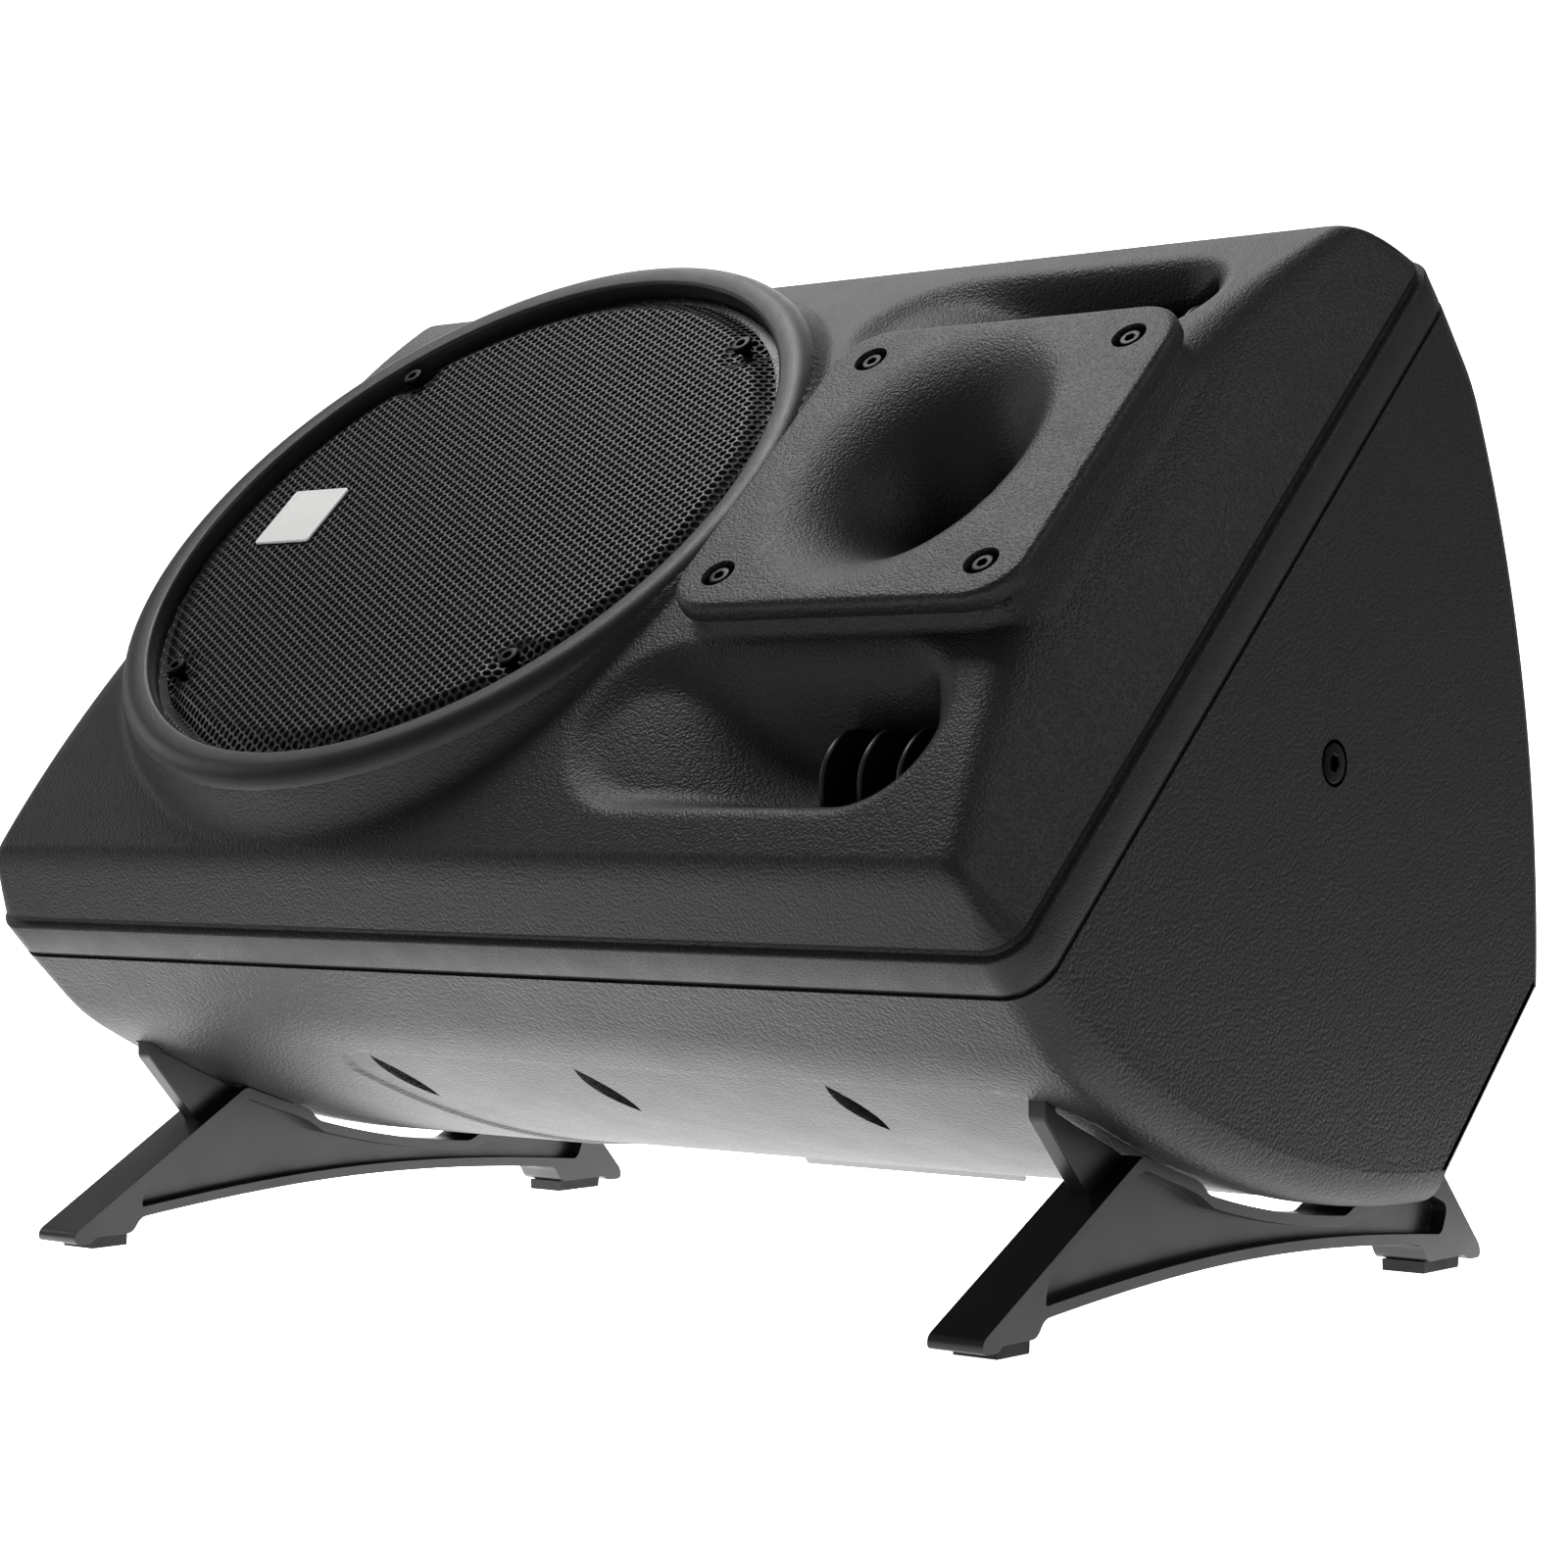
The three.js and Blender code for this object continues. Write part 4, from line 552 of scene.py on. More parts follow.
def corner_points(centre, radius, start, end, count=5):
    """Points of a round corner; angles in degrees."""
    angle = np.radians(np.linspace(start, end, count))
    return [(centre[0] + radius * math.cos(a), centre[1] + radius * math.sin(a)) for a in angle]


def prism_mesh(name, outline, low, high, place, look="rear", sharp=30):
    """A closed prism; place turns its [a, b, height] points into the part's frame."""
    count = len(outline)
    points = [(a, b, h) for h in (low, high) for a, b in outline]
    sides = [(i, (i + 1) % count, (i + 1) % count + count, i + count) for i in range(count)]
    caps = [tuple(range(count))[::-1], tuple(range(count, 2 * count))]
    return new_mesh(name, place(np.array(points)), sides + caps, [look], sharp=sharp)


# ---------------------------------------------------------------- front shell


def baffle_height(y):
    """The bowed baffle's height over the seam."""
    half = HALF_WIDTH - RIDGE_IN
    radius = (half**2 + (CROWN - RIDGE_Z) ** 2) / (2 * (CROWN - RIDGE_Z))
    return CROWN - radius + np.sqrt(radius**2 - np.minimum(np.abs(y), half + STEP_IN * 4) ** 2)


def slanted_height(x, y, softness):
    """The slanted sides and ends, rising from the belt."""
    inner = CORNER - STEP_IN
    half_x, half_y = HALF_LENGTH - STEP_IN, HALF_WIDTH - STEP_IN
    dx, dy = half_x - np.abs(x - MIDDLE), half_y - np.abs(y)
    ox, oy = np.maximum(inner - dx, 0), np.maximum(inner - dy, 0)
    stretch = np.hypot(ox, oy) / np.maximum(np.maximum(ox, oy), 1e-6)
    at_corner = (ox > 0) & (oy > 0)
    dx = np.where(at_corner, inner - ox * stretch, dx)
    dy = np.where(at_corner, inner - oy * stretch, dy)
    right = x > MIDDLE
    end_in = np.where(right, RIGHT_RIDGE_IN, LEFT_RIDGE_IN) - STEP_IN
    side = STEP_Z + dy * (RIDGE_Z - STEP_Z) / (RIDGE_IN - STEP_IN)
    end = STEP_Z + dx * (END_RIDGE_Z - STEP_Z) / end_in
    roll = END_RIDGE_Z + (dx - end_in) * (CROWN - END_RIDGE_Z) / END_ROLL
    near = np.clip(np.minimum(dx, dy) / 8, 0.001, 1)
    rise = smooth_min(side, end, softness * near)
    rise = smooth_min(rise, roll, softness * near)
    return smooth_min(rise, baffle_height(y), softness * 0.8 * near)


def front_height(x, y, softness):
    """The whole front: baffle, fillet around the rim, horn's pedestal and reflex scoops."""
    height = slanted_height(x, y, softness)
    radius = np.hypot(x, y)
    rim_foot = RIM_TOP - FILLET["slope"] * (radius - FILLET["start"])
    rim_foot = np.minimum(rim_foot, RIM_TOP - FILLET["below_rim"])
    height = smooth_max(height, rim_foot, FILLET["blend"])
    half_x = (HORN_HIGH[0] - HORN_LOW[0]) / 2 - PEDESTAL["overhang"]
    half_y = HORN_HIGH[1] - PEDESTAL["overhang"]
    apart = outside(x, y, HORN_X, 0, half_x, half_y, PEDESTAL["corner"])
    pedestal = PEDESTAL["top"] - PEDESTAL["slope"] * np.maximum(apart, -0.01)
    height = smooth_max(height, pedestal, PEDESTAL["blend"])
    middle_x = (SCOOP["left"] + SCOOP["right"]) / 2
    half_x = (SCOOP["right"] - SCOOP["left"]) / 2 + SCOOP["spread"]
    half_y = (SCOOP["outer"] - SCOOP["inner"]) / 2 + SCOOP["spread"]
    apart = outside(x, np.abs(y), middle_x, SCOOP_Y, half_x, half_y, SCOOP["corner"])
    fall_from = SCOOP["left"] - SCOOP["lead"]
    slope = ease((x - fall_from) / (SCOOP["duct"] - fall_from))
    start = baffle_height(y) + SCOOP["start"]
    floor = start + (SCOOP["floor"] - start) * slope
    wall = height + SCOOP["steepness"] * apart
    height = smooth_min(height, smooth_max(floor, wall, SCOOP["hollow"]), SCOOP["lip"])
    apart = outside(x, np.abs(y), WELL["x"], SCOOP_Y, *WELL["half"], WELL["corner"])
    return height - WELL["depth"] * ease(-apart / WELL["wall"])


def front_lines():
    """Where the front's grid lines run, closest at edges and scoop walls."""
    left, right = LEFT + STEP_IN, RIGHT - STEP_IN
    top = HALF_WIDTH - STEP_IN
    xs = lines_between([
        (left, 0.9), (left + 24, 2.6), (HORN_LOW[0] - 4, 1.5), (HORN_LOW[0] + 8, 2.4),
        (296, 1.3), (HORN_HIGH[0] + 6, 1.6), (right - 18, 0.8), (right, 1)])
    half = lines_between([
        (0, 2.6), (HORN_HIGH[1] - 7, 1.2), (HORN_HIGH[1] + 14, 2.0), (142, 1.2), (164, 1.8),
        (top - 18, 0.9), (top, 1)])
    return xs, np.concatenate([-half[:0:-1], half])


def round_grid_corners(x, y):
    """Draws the grid's square corners in to round ones."""
    inner = CORNER - STEP_IN
    core_x, core_y = HALF_LENGTH - STEP_IN - inner, HALF_WIDTH - STEP_IN - inner
    u = np.maximum(np.abs(x - MIDDLE) - core_x, 0) / inner
    v = np.maximum(np.abs(y) - core_y, 0) / inner
    shrink_u, shrink_v = np.sqrt(1 - v**2 / 2), np.sqrt(1 - u**2 / 2)
    new_x = np.where(u > 0, MIDDLE + np.sign(x - MIDDLE) * (core_x + inner * u * shrink_u), x)
    new_y = np.where(v > 0, np.sign(y) * (core_y + inner * v * shrink_v), y)
    return new_x, new_y


# The groove under the slanted sides, the belt, and the edge at the seam: [inset, height].
BELT_PROFILE = [
    (3.5, 19.6), (3.8, 18.4), (3.5, 17.3), (2.6, 16.9), (1.0, 16.8), (0.3, 16.5), (0, 15.7),
    (0, 8), (0, 1.2), (0.3, 0.4), (1.0, 0.05), (3, 0.05), (SHELL_WALL, 0.05),
]


def front_skin(softness):
    """The front's grid with its openings left out, and the belt hung from its edge."""
    xs, ys = front_lines()
    x, y = round_grid_corners(*np.meshgrid(xs, ys))
    z = front_height(x, y, softness)
    rows, columns = x.shape
    number = np.arange(rows * columns).reshape(rows, columns)
    rim = np.concatenate([number[0, :-1], number[:-1, -1], number[-1, :0:-1], number[:0:-1, 0]])
    grid = np.stack([x, y, z], -1).reshape(-1, 3)
    core = np.array([HALF_LENGTH - CORNER, HALF_WIDTH - CORNER])
    edge = grid[rim]
    base = np.clip(edge[:, :2] - [MIDDLE, 0], -core, core)
    out = edge[:, :2] - [MIDDLE, 0] - base
    out /= np.linalg.norm(out, axis=1)[:, None]
    rings = [
        np.column_stack([base + [MIDDLE, 0] + out * (CORNER - inset), np.full(len(rim), height)])
        for inset, height in BELT_PROFILE
    ]
    faces = grid_faces(rows, columns)
    mid = grid[faces].mean(1)
    keep = np.hypot(mid[:, 0], mid[:, 1]) > RIM_OUTER - 7
    across, up = (mid[:, 0] - HORN_X) / (MOUTH_HALF_LENGTH + 7), mid[:, 1] / (MOUTH_HALF_WIDTH + 3)
    keep &= across**2 + up**2 > 1
    half_x, half_y = (half - WELL["ledge"] for half in WELL["half"])
    keep &= outside(mid[:, 0], np.abs(mid[:, 1]), WELL["x"], SCOOP_Y, half_x, half_y, 5) > 0
    faces = faces[keep]
    count = len(rim)
    loops = np.vstack([rim] + [grid.shape[0] + k * count + np.arange(count) for k in range(len(rings))])
    after = np.roll(loops, -1, axis=1)
    skirts = np.stack([loops[:-1], loops[1:], after[1:], after[:-1]], -1).reshape(-1, 4)
    # The belt's own etch is on the profile's upright rows only.
    belt_rows = np.repeat([0, 0, 0, 0, 0, 1, 1, 1, 1, 1, 0, 0, 0], count)
    looks = np.concatenate([np.zeros(len(faces), int), belt_rows])
    points = np.vstack([grid, *rings])
    used = np.unique(np.concatenate([faces.ravel(), skirts.ravel()]))
    order = np.full(len(points), -1)
    order[used] = np.arange(len(used))
    return points[used], order[np.vstack([faces, skirts])], looks


def rim_profile():
    """The grille's rim, from its foot over the rounded shoulder and down the bore to its ledge."""
    shoulder = RIM_SHOULDER
    return [
        (RIM_OUTER, 40), (RIM_OUTER - 0.2, 55), (RIM_OUTER - 0.8, RIM_TOP - shoulder - 1),
        *corner_points((RIM_OUTER - 1 - shoulder, RIM_TOP - shoulder), shoulder, 8, 88, 9),
        (RIM_BORE + 4, RIM_TOP - 0.3), (RIM_BORE + 2, RIM_TOP - 0.6),
        *corner_points((RIM_BORE + 1.6, RIM_TOP - 2.3), 1.6, 100, 180, 5),
        (RIM_BORE, 68.7), (RIM_SEAT, 68.7), (RIM_SEAT, 57.5), (RIM_SEAT + 4, 40),
    ]


class WEDGE_OT_front_shell(bpy.types.Operator):
    """Moulds the baffle, its slanted sides, the belt and the grille's rim"""

    bl_idname = "wedge.front_shell"
    bl_label = "Front shell"

    def execute(self, context):
        points, faces, looks = front_skin(context.scene.wedge_shell.ridge_softness / MM)
        mesh = new_mesh("front_shell_skin", to_part(points), faces, ["shell", "belt"], looks, 50)
        skin = new_piece("front_shell_skin", mesh, "cabinet", ["front_shell"])
        wall = skin.modifiers.new("wall", "SOLIDIFY")
        wall.thickness, wall.offset = SKIN_WALL * MM, -1
        rim = turned_mesh("woofer_rim", rim_profile(), "rim", segments=288, sharp=50)
        new_piece("woofer_rim", rim, "cabinet")
        return {"FINISHED"}


# ---------------------------------------------------------------- rear shell


def belly_curve(count):
    return arc_between(CREASE, (-BACK_HALF_WIDTH, BACK_Z), BELLY_SAGITTA, count)


def rear_section(belly_count, skirt_count, back_count):
    """The rear shell seen along its length, from one seam edge round to the other."""
    top, crease = np.array([-HALF_WIDTH, SEAM_Z]), np.array(CREASE)
    belly = belly_curve(belly_count)
    belly = belly[np.linalg.norm(belly - crease, axis=1) > CREASE_BLEND]
    bend_from = crease + (top - crease) * CREASE_BLEND / np.linalg.norm(top - crease)
    skirt = np.linspace(top, bend_from, skirt_count, endpoint=False)
    t = np.linspace(0, 1, skirt_count, endpoint=False)[:, None]
    bend = (1 - t) ** 2 * bend_from + 2 * t * (1 - t) * crease + t**2 * belly[0]
    side = np.vstack([skirt, bend, belly])
    back = np.linspace((-BACK_HALF_WIDTH, BACK_Z), (BACK_HALF_WIDTH, BACK_Z), back_count)[1:-1]
    return np.vstack([side, back, (side * [-1, 1])[::-1]])


def end_steps(radius, kink, count):
    """[distance from the end face, inset] down the round edge, ending a little short of tangent."""
    angle = np.radians(np.linspace(90 - kink, 0, count))
    return np.column_stack([radius * (1 - np.sin(angle)), radius * (1 - np.cos(angle))])


def rear_rows(section, steps, extra, spacing):
    """Copies of the section along the cabinet, drawn in at both ends."""
    inset = inward(section)
    length = RIGHT - LEFT - 2 * (extra + steps[-1][0])
    middle = np.linspace(0, length, max(2, round(length / spacing)) + 1)[1:-1]
    rows = []
    for away, depth in steps:
        rows.append((LEFT + extra + away - steps[0][0], depth + extra))
    rows += [(LEFT + extra + steps[-1][0] + run, extra) for run in middle]
    for away, depth in steps[::-1]:
        rows.append((RIGHT - extra - away + steps[0][0], depth + extra))
    return [np.column_stack([np.full(len(section), x), section + inset * depth]) for x, depth in rows]


def belly_panel(points, section_run):
    """Sinks the shallow panel into both curved sides."""
    run = np.where(section_run < section_run[-1] / 2, section_run, section_run[-1] - section_run)
    apart = outside(points[..., 0], run[None, :], *BELLY_PANEL["at"], *BELLY_PANEL["half"],
                    BELLY_PANEL["corner"])
    sunk = BELLY_PANEL["depth"] * ease(-apart / BELLY_PANEL["wall"])
    middle = np.array([0, 0, -90])
    inwards = middle - points
    inwards[..., 0] = 0
    inwards /= np.linalg.norm(inwards, axis=-1)[..., None]
    return points + inwards * sunk[..., None]


def rear_solid():
    """Outer and inner skins, capped at both ends and joined along the seam's edge."""
    steps = end_steps(CORNER, END_KINK, END_STEPS)
    section = rear_section(112, 8, 14)
    outer = np.array(rear_rows(section, steps, 0, ROW_SPACING))
    run = np.concatenate([[0], np.cumsum(np.linalg.norm(np.diff(section, axis=0), axis=1))])
    outer[END_STEPS:-END_STEPS] = belly_panel(outer[END_STEPS:-END_STEPS], run)
    small = rear_section(12, 2, 3)
    inner_steps = end_steps(CORNER - SHELL_WALL, END_KINK, END_STEPS)
    inner = np.array(rear_rows(small, inner_steps, SHELL_WALL, ROW_SPACING))
    inner[..., 2] = np.minimum(inner[..., 2], SEAM_Z)
    rows, wide, slim = len(outer), len(section), len(small)
    start = rows * wide
    faces = [tuple(f) for f in grid_faces(rows, wide)]
    faces += [tuple(f[::-1] + start) for f in grid_faces(rows, slim)]
    for row, flip in ((0, False), (rows - 1, True)):
        loop = list(range(row * wide, (row + 1) * wide))
        hole = list(range(start + row * slim, start + (row + 1) * slim))
        rim = [loop[0], loop[-1], hole[-1], hole[0]]
        for polygon, turn in ((loop, flip), (hole, not flip), (rim, not flip)):
            faces.append(tuple(polygon[::-1] if turn else polygon))
    for row in range(rows - 1):
        a, b = row * wide, (row + 1) * wide
        c, d = start + row * slim, start + (row + 1) * slim
        faces.append((a, b, d, c))
        a, b, c, d = a + wide - 1, b + wide - 1, c + slim - 1, d + slim - 1
        faces.append((b, a, c, d))
    points = np.vstack([outer.reshape(-1, 3), inner.reshape(-1, 3)])
    return points, faces


def on_belly(share):
    """A point of the lower belly and the angle of the skin there."""
    curve = belly_curve(201)
    at = share * 200
    low = min(int(at), 199)
    point = curve[low] + (curve[low + 1] - curve[low]) * (at - low)
    slope = curve[low + 1] - curve[low]
    return point, math.atan2(slope[1], slope[0])


def slot_cutter(x, side):
    """A lens-shaped pocket along the belly."""
    (y, z), angle = on_belly(SLOT_SHARE)
    lens = arc_between((-SLOT_LENGTH / 2, 0), (SLOT_LENGTH / 2, 0), SLOT_WIDTH / 2, 9)[:-1]
    outline = np.vstack([lens, -lens])
    along = np.array([0, math.cos(angle), math.sin(angle)])
    out = np.array([0, math.sin(angle), -math.cos(angle)])

    def place(points):
        placed = np.outer(points[:, 0], along) + np.outer(points[:, 2], out) + [0, y, z]
        placed[:, 0] = x + points[:, 1] + SLOT_LEAN * points[:, 0]
        placed[:, 1] *= side
        return to_part(placed)

    ordered = outline if side > 0 else outline[::-1]
    return prism_mesh("slot_cutter", ordered.tolist(), -SLOT_DEPTH, SLOT_OVER, place)


def hook_cutter(x):
    """An upright pocket for a foot's hook."""
    y, z = on_belly(HOOK_SHARE)[0]
    centre = to_part([[x, y, z]])[0]
    a, b = HOOK_HALF

    def place(points):
        return centre + points * MM

    box = [(-a, -b), (a, -b), (a, b), (-a, b)]
    return prism_mesh("hook_cutter", box, -HOOK_DEPTH, HOOK_OVER, place)


def end_cutter(name, side):
    """The round recess over a rigging screw."""
    centre = cabinet_centre(name)
    face = RIGHT if side > 0 else LEFT
    ring = [(RECESS_RADIUS * math.cos(a), RECESS_RADIUS * math.sin(a))
            for a in np.linspace(0, 2 * math.pi, 48, endpoint=False)]

    def place(points):
        across, up, out = points.T
        return to_part(np.column_stack([face + side * out, side * across, up + centre[2]]))

    return prism_mesh("end_cutter", ring, -RECESS_DEPTH, 4, place)


def back_cutter():
    """The opening behind the amplifier panel, which laps over its edges."""
    low, high = cabinet_box("amp_panel")
    (x0, y0), (x1, y1) = low[:2] + BACK_LEDGE, high[:2] - BACK_LEDGE
    box = [(x0, y0), (x1, y0), (x1, y1), (x0, y1)]
    return prism_mesh("back_cutter", box, BACK_Z - 4, BACK_Z + 15, to_part)


class WEDGE_OT_rear_shell(bpy.types.Operator):
    """Moulds the curved rear shell with its sunk panels, slots, hook pockets and screw recesses"""

    bl_idname = "wedge.rear_shell"
    bl_label = "Rear shell"

    def execute(self, context):
        points, faces = rear_solid()
        blank = new_mesh("rear_shell_skin", to_part(points), faces, ["rear"], sharp=8)
        cutters = [slot_cutter(x, side) for x in SLOT_XS for side in (1, -1)]
        cutters += [hook_cutter(cabinet_centre(foot)[0]) for foot in FEET]
        cutters += [end_cutter("rigging_screw_right", 1), end_cutter("rigging_screw_left", -1)]
        cutters.append(back_cutter())
        mesh = cut_mesh("rear_shell_skin", blank, cutters, 8)
        new_piece("rear_shell_skin", mesh, "cabinet", ["rear_shell"])
        return {"FINISHED"}


# ---------------------------------------------------------------- grille and badge


def grille_height(x, y, top, edge):
    """The dished sheet's face, pressed in around its four screws."""
    radius = np.hypot(x, y)
    fall = ease((radius - GRILLE_FLAT) / (RIM_SEAT + 1 - GRILLE_FLAT))
    height = top - (top - edge) * fall
    for index in range(4):
        centre = cabinet_centre(f"grille_screw_{index + 1}")
        apart = np.hypot(x - centre[0], y - centre[1])
        height = height - GRILLE_DIMPLE * ease((DIMPLE_REACH - apart) / DIMPLE_SLOPE)
    return height


def grille_mesh(settings):
    """Every hole is cut in its own hexagon, with a chamfer and a wall down through the sheet."""
    pitch, hole, thickness = settings.pitch / MM, settings.hole / MM, settings.thickness / MM
    low, high = cabinet_box("grille")
    top, edge = high[2], low[2] + thickness + 0.2
    reach = RIM_SEAT + 1.5
    column = pitch * math.sqrt(3) / 2
    count = int(reach / column) + 1
    centres = [
        (i * column, (j + 0.5 * (i % 2)) * pitch)
        for i in range(-count, count + 1)
        for j in range(-int(reach / pitch) - 1, int(reach / pitch) + 2)
    ]
    centres = np.array([c for c in centres if math.hypot(*c) < reach])
    sides = np.arange(HOLE_SIDES)
    angle = np.radians(sides * 360 / HOLE_SIDES)
    corner = np.where(sides % 2 == 0, pitch / math.sqrt(3), pitch / 2)
    wall = np.full(HOLE_SIDES, hole / 2)
    rings = [corner, wall + HOLE_CHAMFER, wall, wall]
    drops = [0, 0, HOLE_CHAMFER, thickness]
    points = []
    for radius, drop in zip(rings, drops):
        x = centres[:, :1] + radius * np.cos(angle)
        y = centres[:, 1:] + radius * np.sin(angle)
        points.append(np.stack([x, y, grille_height(x, y, top, edge) - drop], -1))
    points = np.stack(points, 1)
    local = grid_faces(len(rings), HOLE_SIDES, False, True)[:, ::-1]
    first = np.arange(len(centres))[:, None, None] * len(rings) * HOLE_SIDES
    faces = (first + local[None]).reshape(-1, 4)
    flat = points.reshape(-1, 3)
    # Neighbouring cells share their hexagons' points, to a hundredth of a millimetre.
    keys, order = np.unique(np.round(flat, 2), axis=0, return_inverse=True)
    merged = np.zeros_like(keys)
    merged[order.ravel()] = flat
    return new_mesh("grille_sheet", to_part(merged), order.ravel()[faces], ["grille"], sharp=50)


def grille_band(settings):
    """The sheet's plain pressed edge, resting on the rim's ledge."""
    low = cabinet_box("grille")[0][2]
    thickness = settings.thickness / MM
    return turned_mesh("grille_edge", [
        (RIM_SEAT - 1, low), (RIM_BORE - 1.4, low), (RIM_BORE - 1.2, low + thickness),
        (RIM_SEAT - 1, low + thickness + 0.3)], "grille", segments=192)


def badge_mesh():
    """A plain plate with a fine bevel, and a flat ring inside it that keeps the face's shading even."""
    low, high = cabinet_box("badge")
    (x, y), (half_x, half_y) = (low + high)[:2] / 2, (high - low)[:2] / 2
    bevel = BADGE_BEVEL
    rings = []
    for inset, height in (
        (0.1, low[2]), (0, low[2] + 0.2), (0, high[2] - bevel),
        (bevel * 0.4, high[2] - bevel * 0.3), (bevel, high[2]), (bevel + 0.5, high[2]),
    ):
        outline = rounded_outline(x, y, half_x - inset, half_y - inset, BADGE_CORNER - inset)
        rings.append([(a, b, height) for a, b in outline])
    count = len(rings[0])
    faces = [tuple(f) for f in grid_faces(len(rings), count, False, True)]
    faces.append(tuple(range((len(rings) - 1) * count, len(rings) * count)))
    faces.append(tuple(range(count))[::-1])
    points = to_part(np.array(rings).reshape(-1, 3))
    return new_mesh("badge_plate", points, faces, ["label"], sharp=40)


class WEDGE_OT_grille(bpy.types.Operator):
    """Punches the grille's holes and sets the blank badge on it"""

    bl_idname = "wedge.grille"
    bl_label = "Grille and badge"

    def execute(self, context):
        settings = context.scene.wedge_grille
        new_piece("grille_sheet", grille_mesh(settings), "cabinet", ["grille"])
        new_piece("grille_edge", grille_band(settings), "cabinet")
        new_piece("badge_plate", badge_mesh(), "cabinet", ["badge"])
        return {"FINISHED"}


# ---------------------------------------------------------------- horn


def plate_reach(angle):
    """Distance from the horn's axis to the edge of its rounded plate."""
    half = np.array([(HORN_HIGH[0] - HORN_LOW[0]) / 2, HORN_HIGH[1]])
    corner = HORN_PLATE["corner"]
    c, s = np.cos(angle), np.sin(angle)
    reach = half[:, None] / np.maximum(np.abs([c, s]), 1e-6)
    reach = np.minimum(reach[0], reach[1])
    px, py = np.abs(reach * c), np.abs(reach * s)
    at_corner = (px > half[0] - corner) & (py > half[1] - corner)
    dot = np.abs(c) * (half[0] - corner) + np.abs(s) * (half[1] - corner)
    square = (half[0] - corner) ** 2 + (half[1] - corner) ** 2
    round_reach = dot + np.sqrt(np.maximum(dot**2 - square + corner**2, 0))
    return np.where(at_corner, round_reach, reach)


def bell_depth(radius, mouth, softness):
    """How far the horn's face lies below the plate, at a distance from its axis."""
    share = np.clip((radius - THROAT) / (mouth - THROAT), 0, None)
    inside = HORN_DEPTH * (1 - share ** (1 / FLARE))
    beyond = -HORN_DEPTH / FLARE * (share - 1)
    return smooth_max(np.where(share < 1, inside, beyond), 0, softness)


def horn_mesh():
    """The plate's rounded edge, its bell and throat, and the bell's back, bored for its screws."""
    angle = np.linspace(0, 2 * math.pi, 216, endpoint=False)
    outline = plate_reach(angle)
    mouth = 1 / np.hypot(np.cos(angle) / MOUTH_HALF_LENGTH, np.sin(angle) / MOUTH_HALF_WIDTH)
    softness = 10 - 7 * np.cos(angle)  # the lip is rounder towards the woofer
    edge = HORN_PLATE["edge"]
    rows = [(outline - 1.2, PLATE_LOW), (outline - 0.4, PLATE_LOW + 0.25), (outline, PLATE_LOW + 1)]
    for inset, height in corner_points((edge, PLATE_TOP - edge), edge, 180, 90, 7):
        rows.append((outline - inset, height))
    inner = outline - edge
    for share in np.concatenate([np.linspace(0.05, 0.6, 12), np.linspace(0.62, 0.985, 34)]):
        radius = inner + (THROAT - inner) * share
        rows.append((radius, PLATE_TOP - bell_depth(radius, mouth, softness)))
    bottom = PLATE_TOP - HORN_DEPTH
    rows += [(THROAT, bottom + 1), (THROAT, bottom - 6), (38, bottom - 6), (38, bottom),
             (20, bottom + 2)]
    for share in np.linspace(0.2, 0.95, 9):
        radius = THROAT + (mouth - THROAT) * share
        depth = HORN_DEPTH * (1 - share ** (1 / FLARE))
        rows.append((radius + HORN_WALL, np.minimum(PLATE_TOP - depth - 1, PLATE_LOW + 0.5)))
    rows.append((mouth + HORN_WALL + 3, PLATE_LOW))
    points = np.array([
        np.column_stack([
            HORN_X + r * np.cos(angle), r * np.sin(angle), np.broadcast_to(z, angle.shape)])
        for r, z in rows])
    faces = grid_faces(len(rows), len(angle), True, True)
    blank = new_mesh("horn_face", to_part(points.reshape(-1, 3)), faces, ["shell"], sharp=40)
    floor, lip = PLATE_TOP - HORN_BORE["depth"], PLATE_TOP - HORN_BORE["chamfer"]
    over = PLATE_TOP + 2
    bore = [(0.01, floor), (HORN_BORE["radius"], floor), (HORN_BORE["radius"], lip),
            (HORN_BORE["mouth"], over), (0.01, over)]
    cutters = []
    for index in range(4):
        centre = cabinet_centre(f"horn_screw_{index + 1}")
        cutters.append(turned_mesh("bore_cutter", bore, "shell", centre[:2], 40))
    return cut_mesh("horn_face", blank, cutters, 40)


class WEDGE_OT_horn(bpy.types.Operator):
    """Moulds the horn's plate and bell"""

    bl_idname = "wedge.horn"
    bl_label = "Horn"

    def execute(self, context):
        new_piece("horn_face", horn_mesh(), "cabinet", ["horn_waveguide"])
        return {"FINISHED"}


# ---------------------------------------------------------------- woofer


class WEDGE_OT_woofer(bpy.types.Operator):
    """Turns the cone and its dust cap as smooth skins"""

    bl_idname = "wedge.woofer"
    bl_label = "Woofer"

    def execute(self, context):
        low, high = cabinet_box("woofer_cone")
        rise = high[2] - 3 - low[2]
        slope = [(CONE_NECK + (high[0] - 3 - CONE_NECK) * s, low[2] + rise * s**0.85)
                 for s in np.linspace(0, 1, 14)]
        profile = [*slope, (high[0], high[2] - 1.5), (high[0], high[2])]
        profile += [(r, z + CONE_WALL) for r, z in slope[::-1]]
        cone = turned_mesh("cone_skin", profile, "paper", segments=128)
        new_piece("cone_skin", cone, "cone", ["woofer_cone"])
        low, high = cabinet_box("woofer_dust_cap")
        dome = [(high[0] * math.sin(t), low[2] + (high[2] - low[2]) * math.cos(t))
                for t in np.linspace(0.02, math.pi / 2, 14)]
        shell = dome + [(r * 0.96, z - CAP_WALL) for r, z in dome[::-1]]
        cap = turned_mesh("dust_cap_skin", shell, "paper", segments=96)
        new_piece("dust_cap_skin", cap, "cone", ["woofer_dust_cap"])
        return {"FINISHED"}


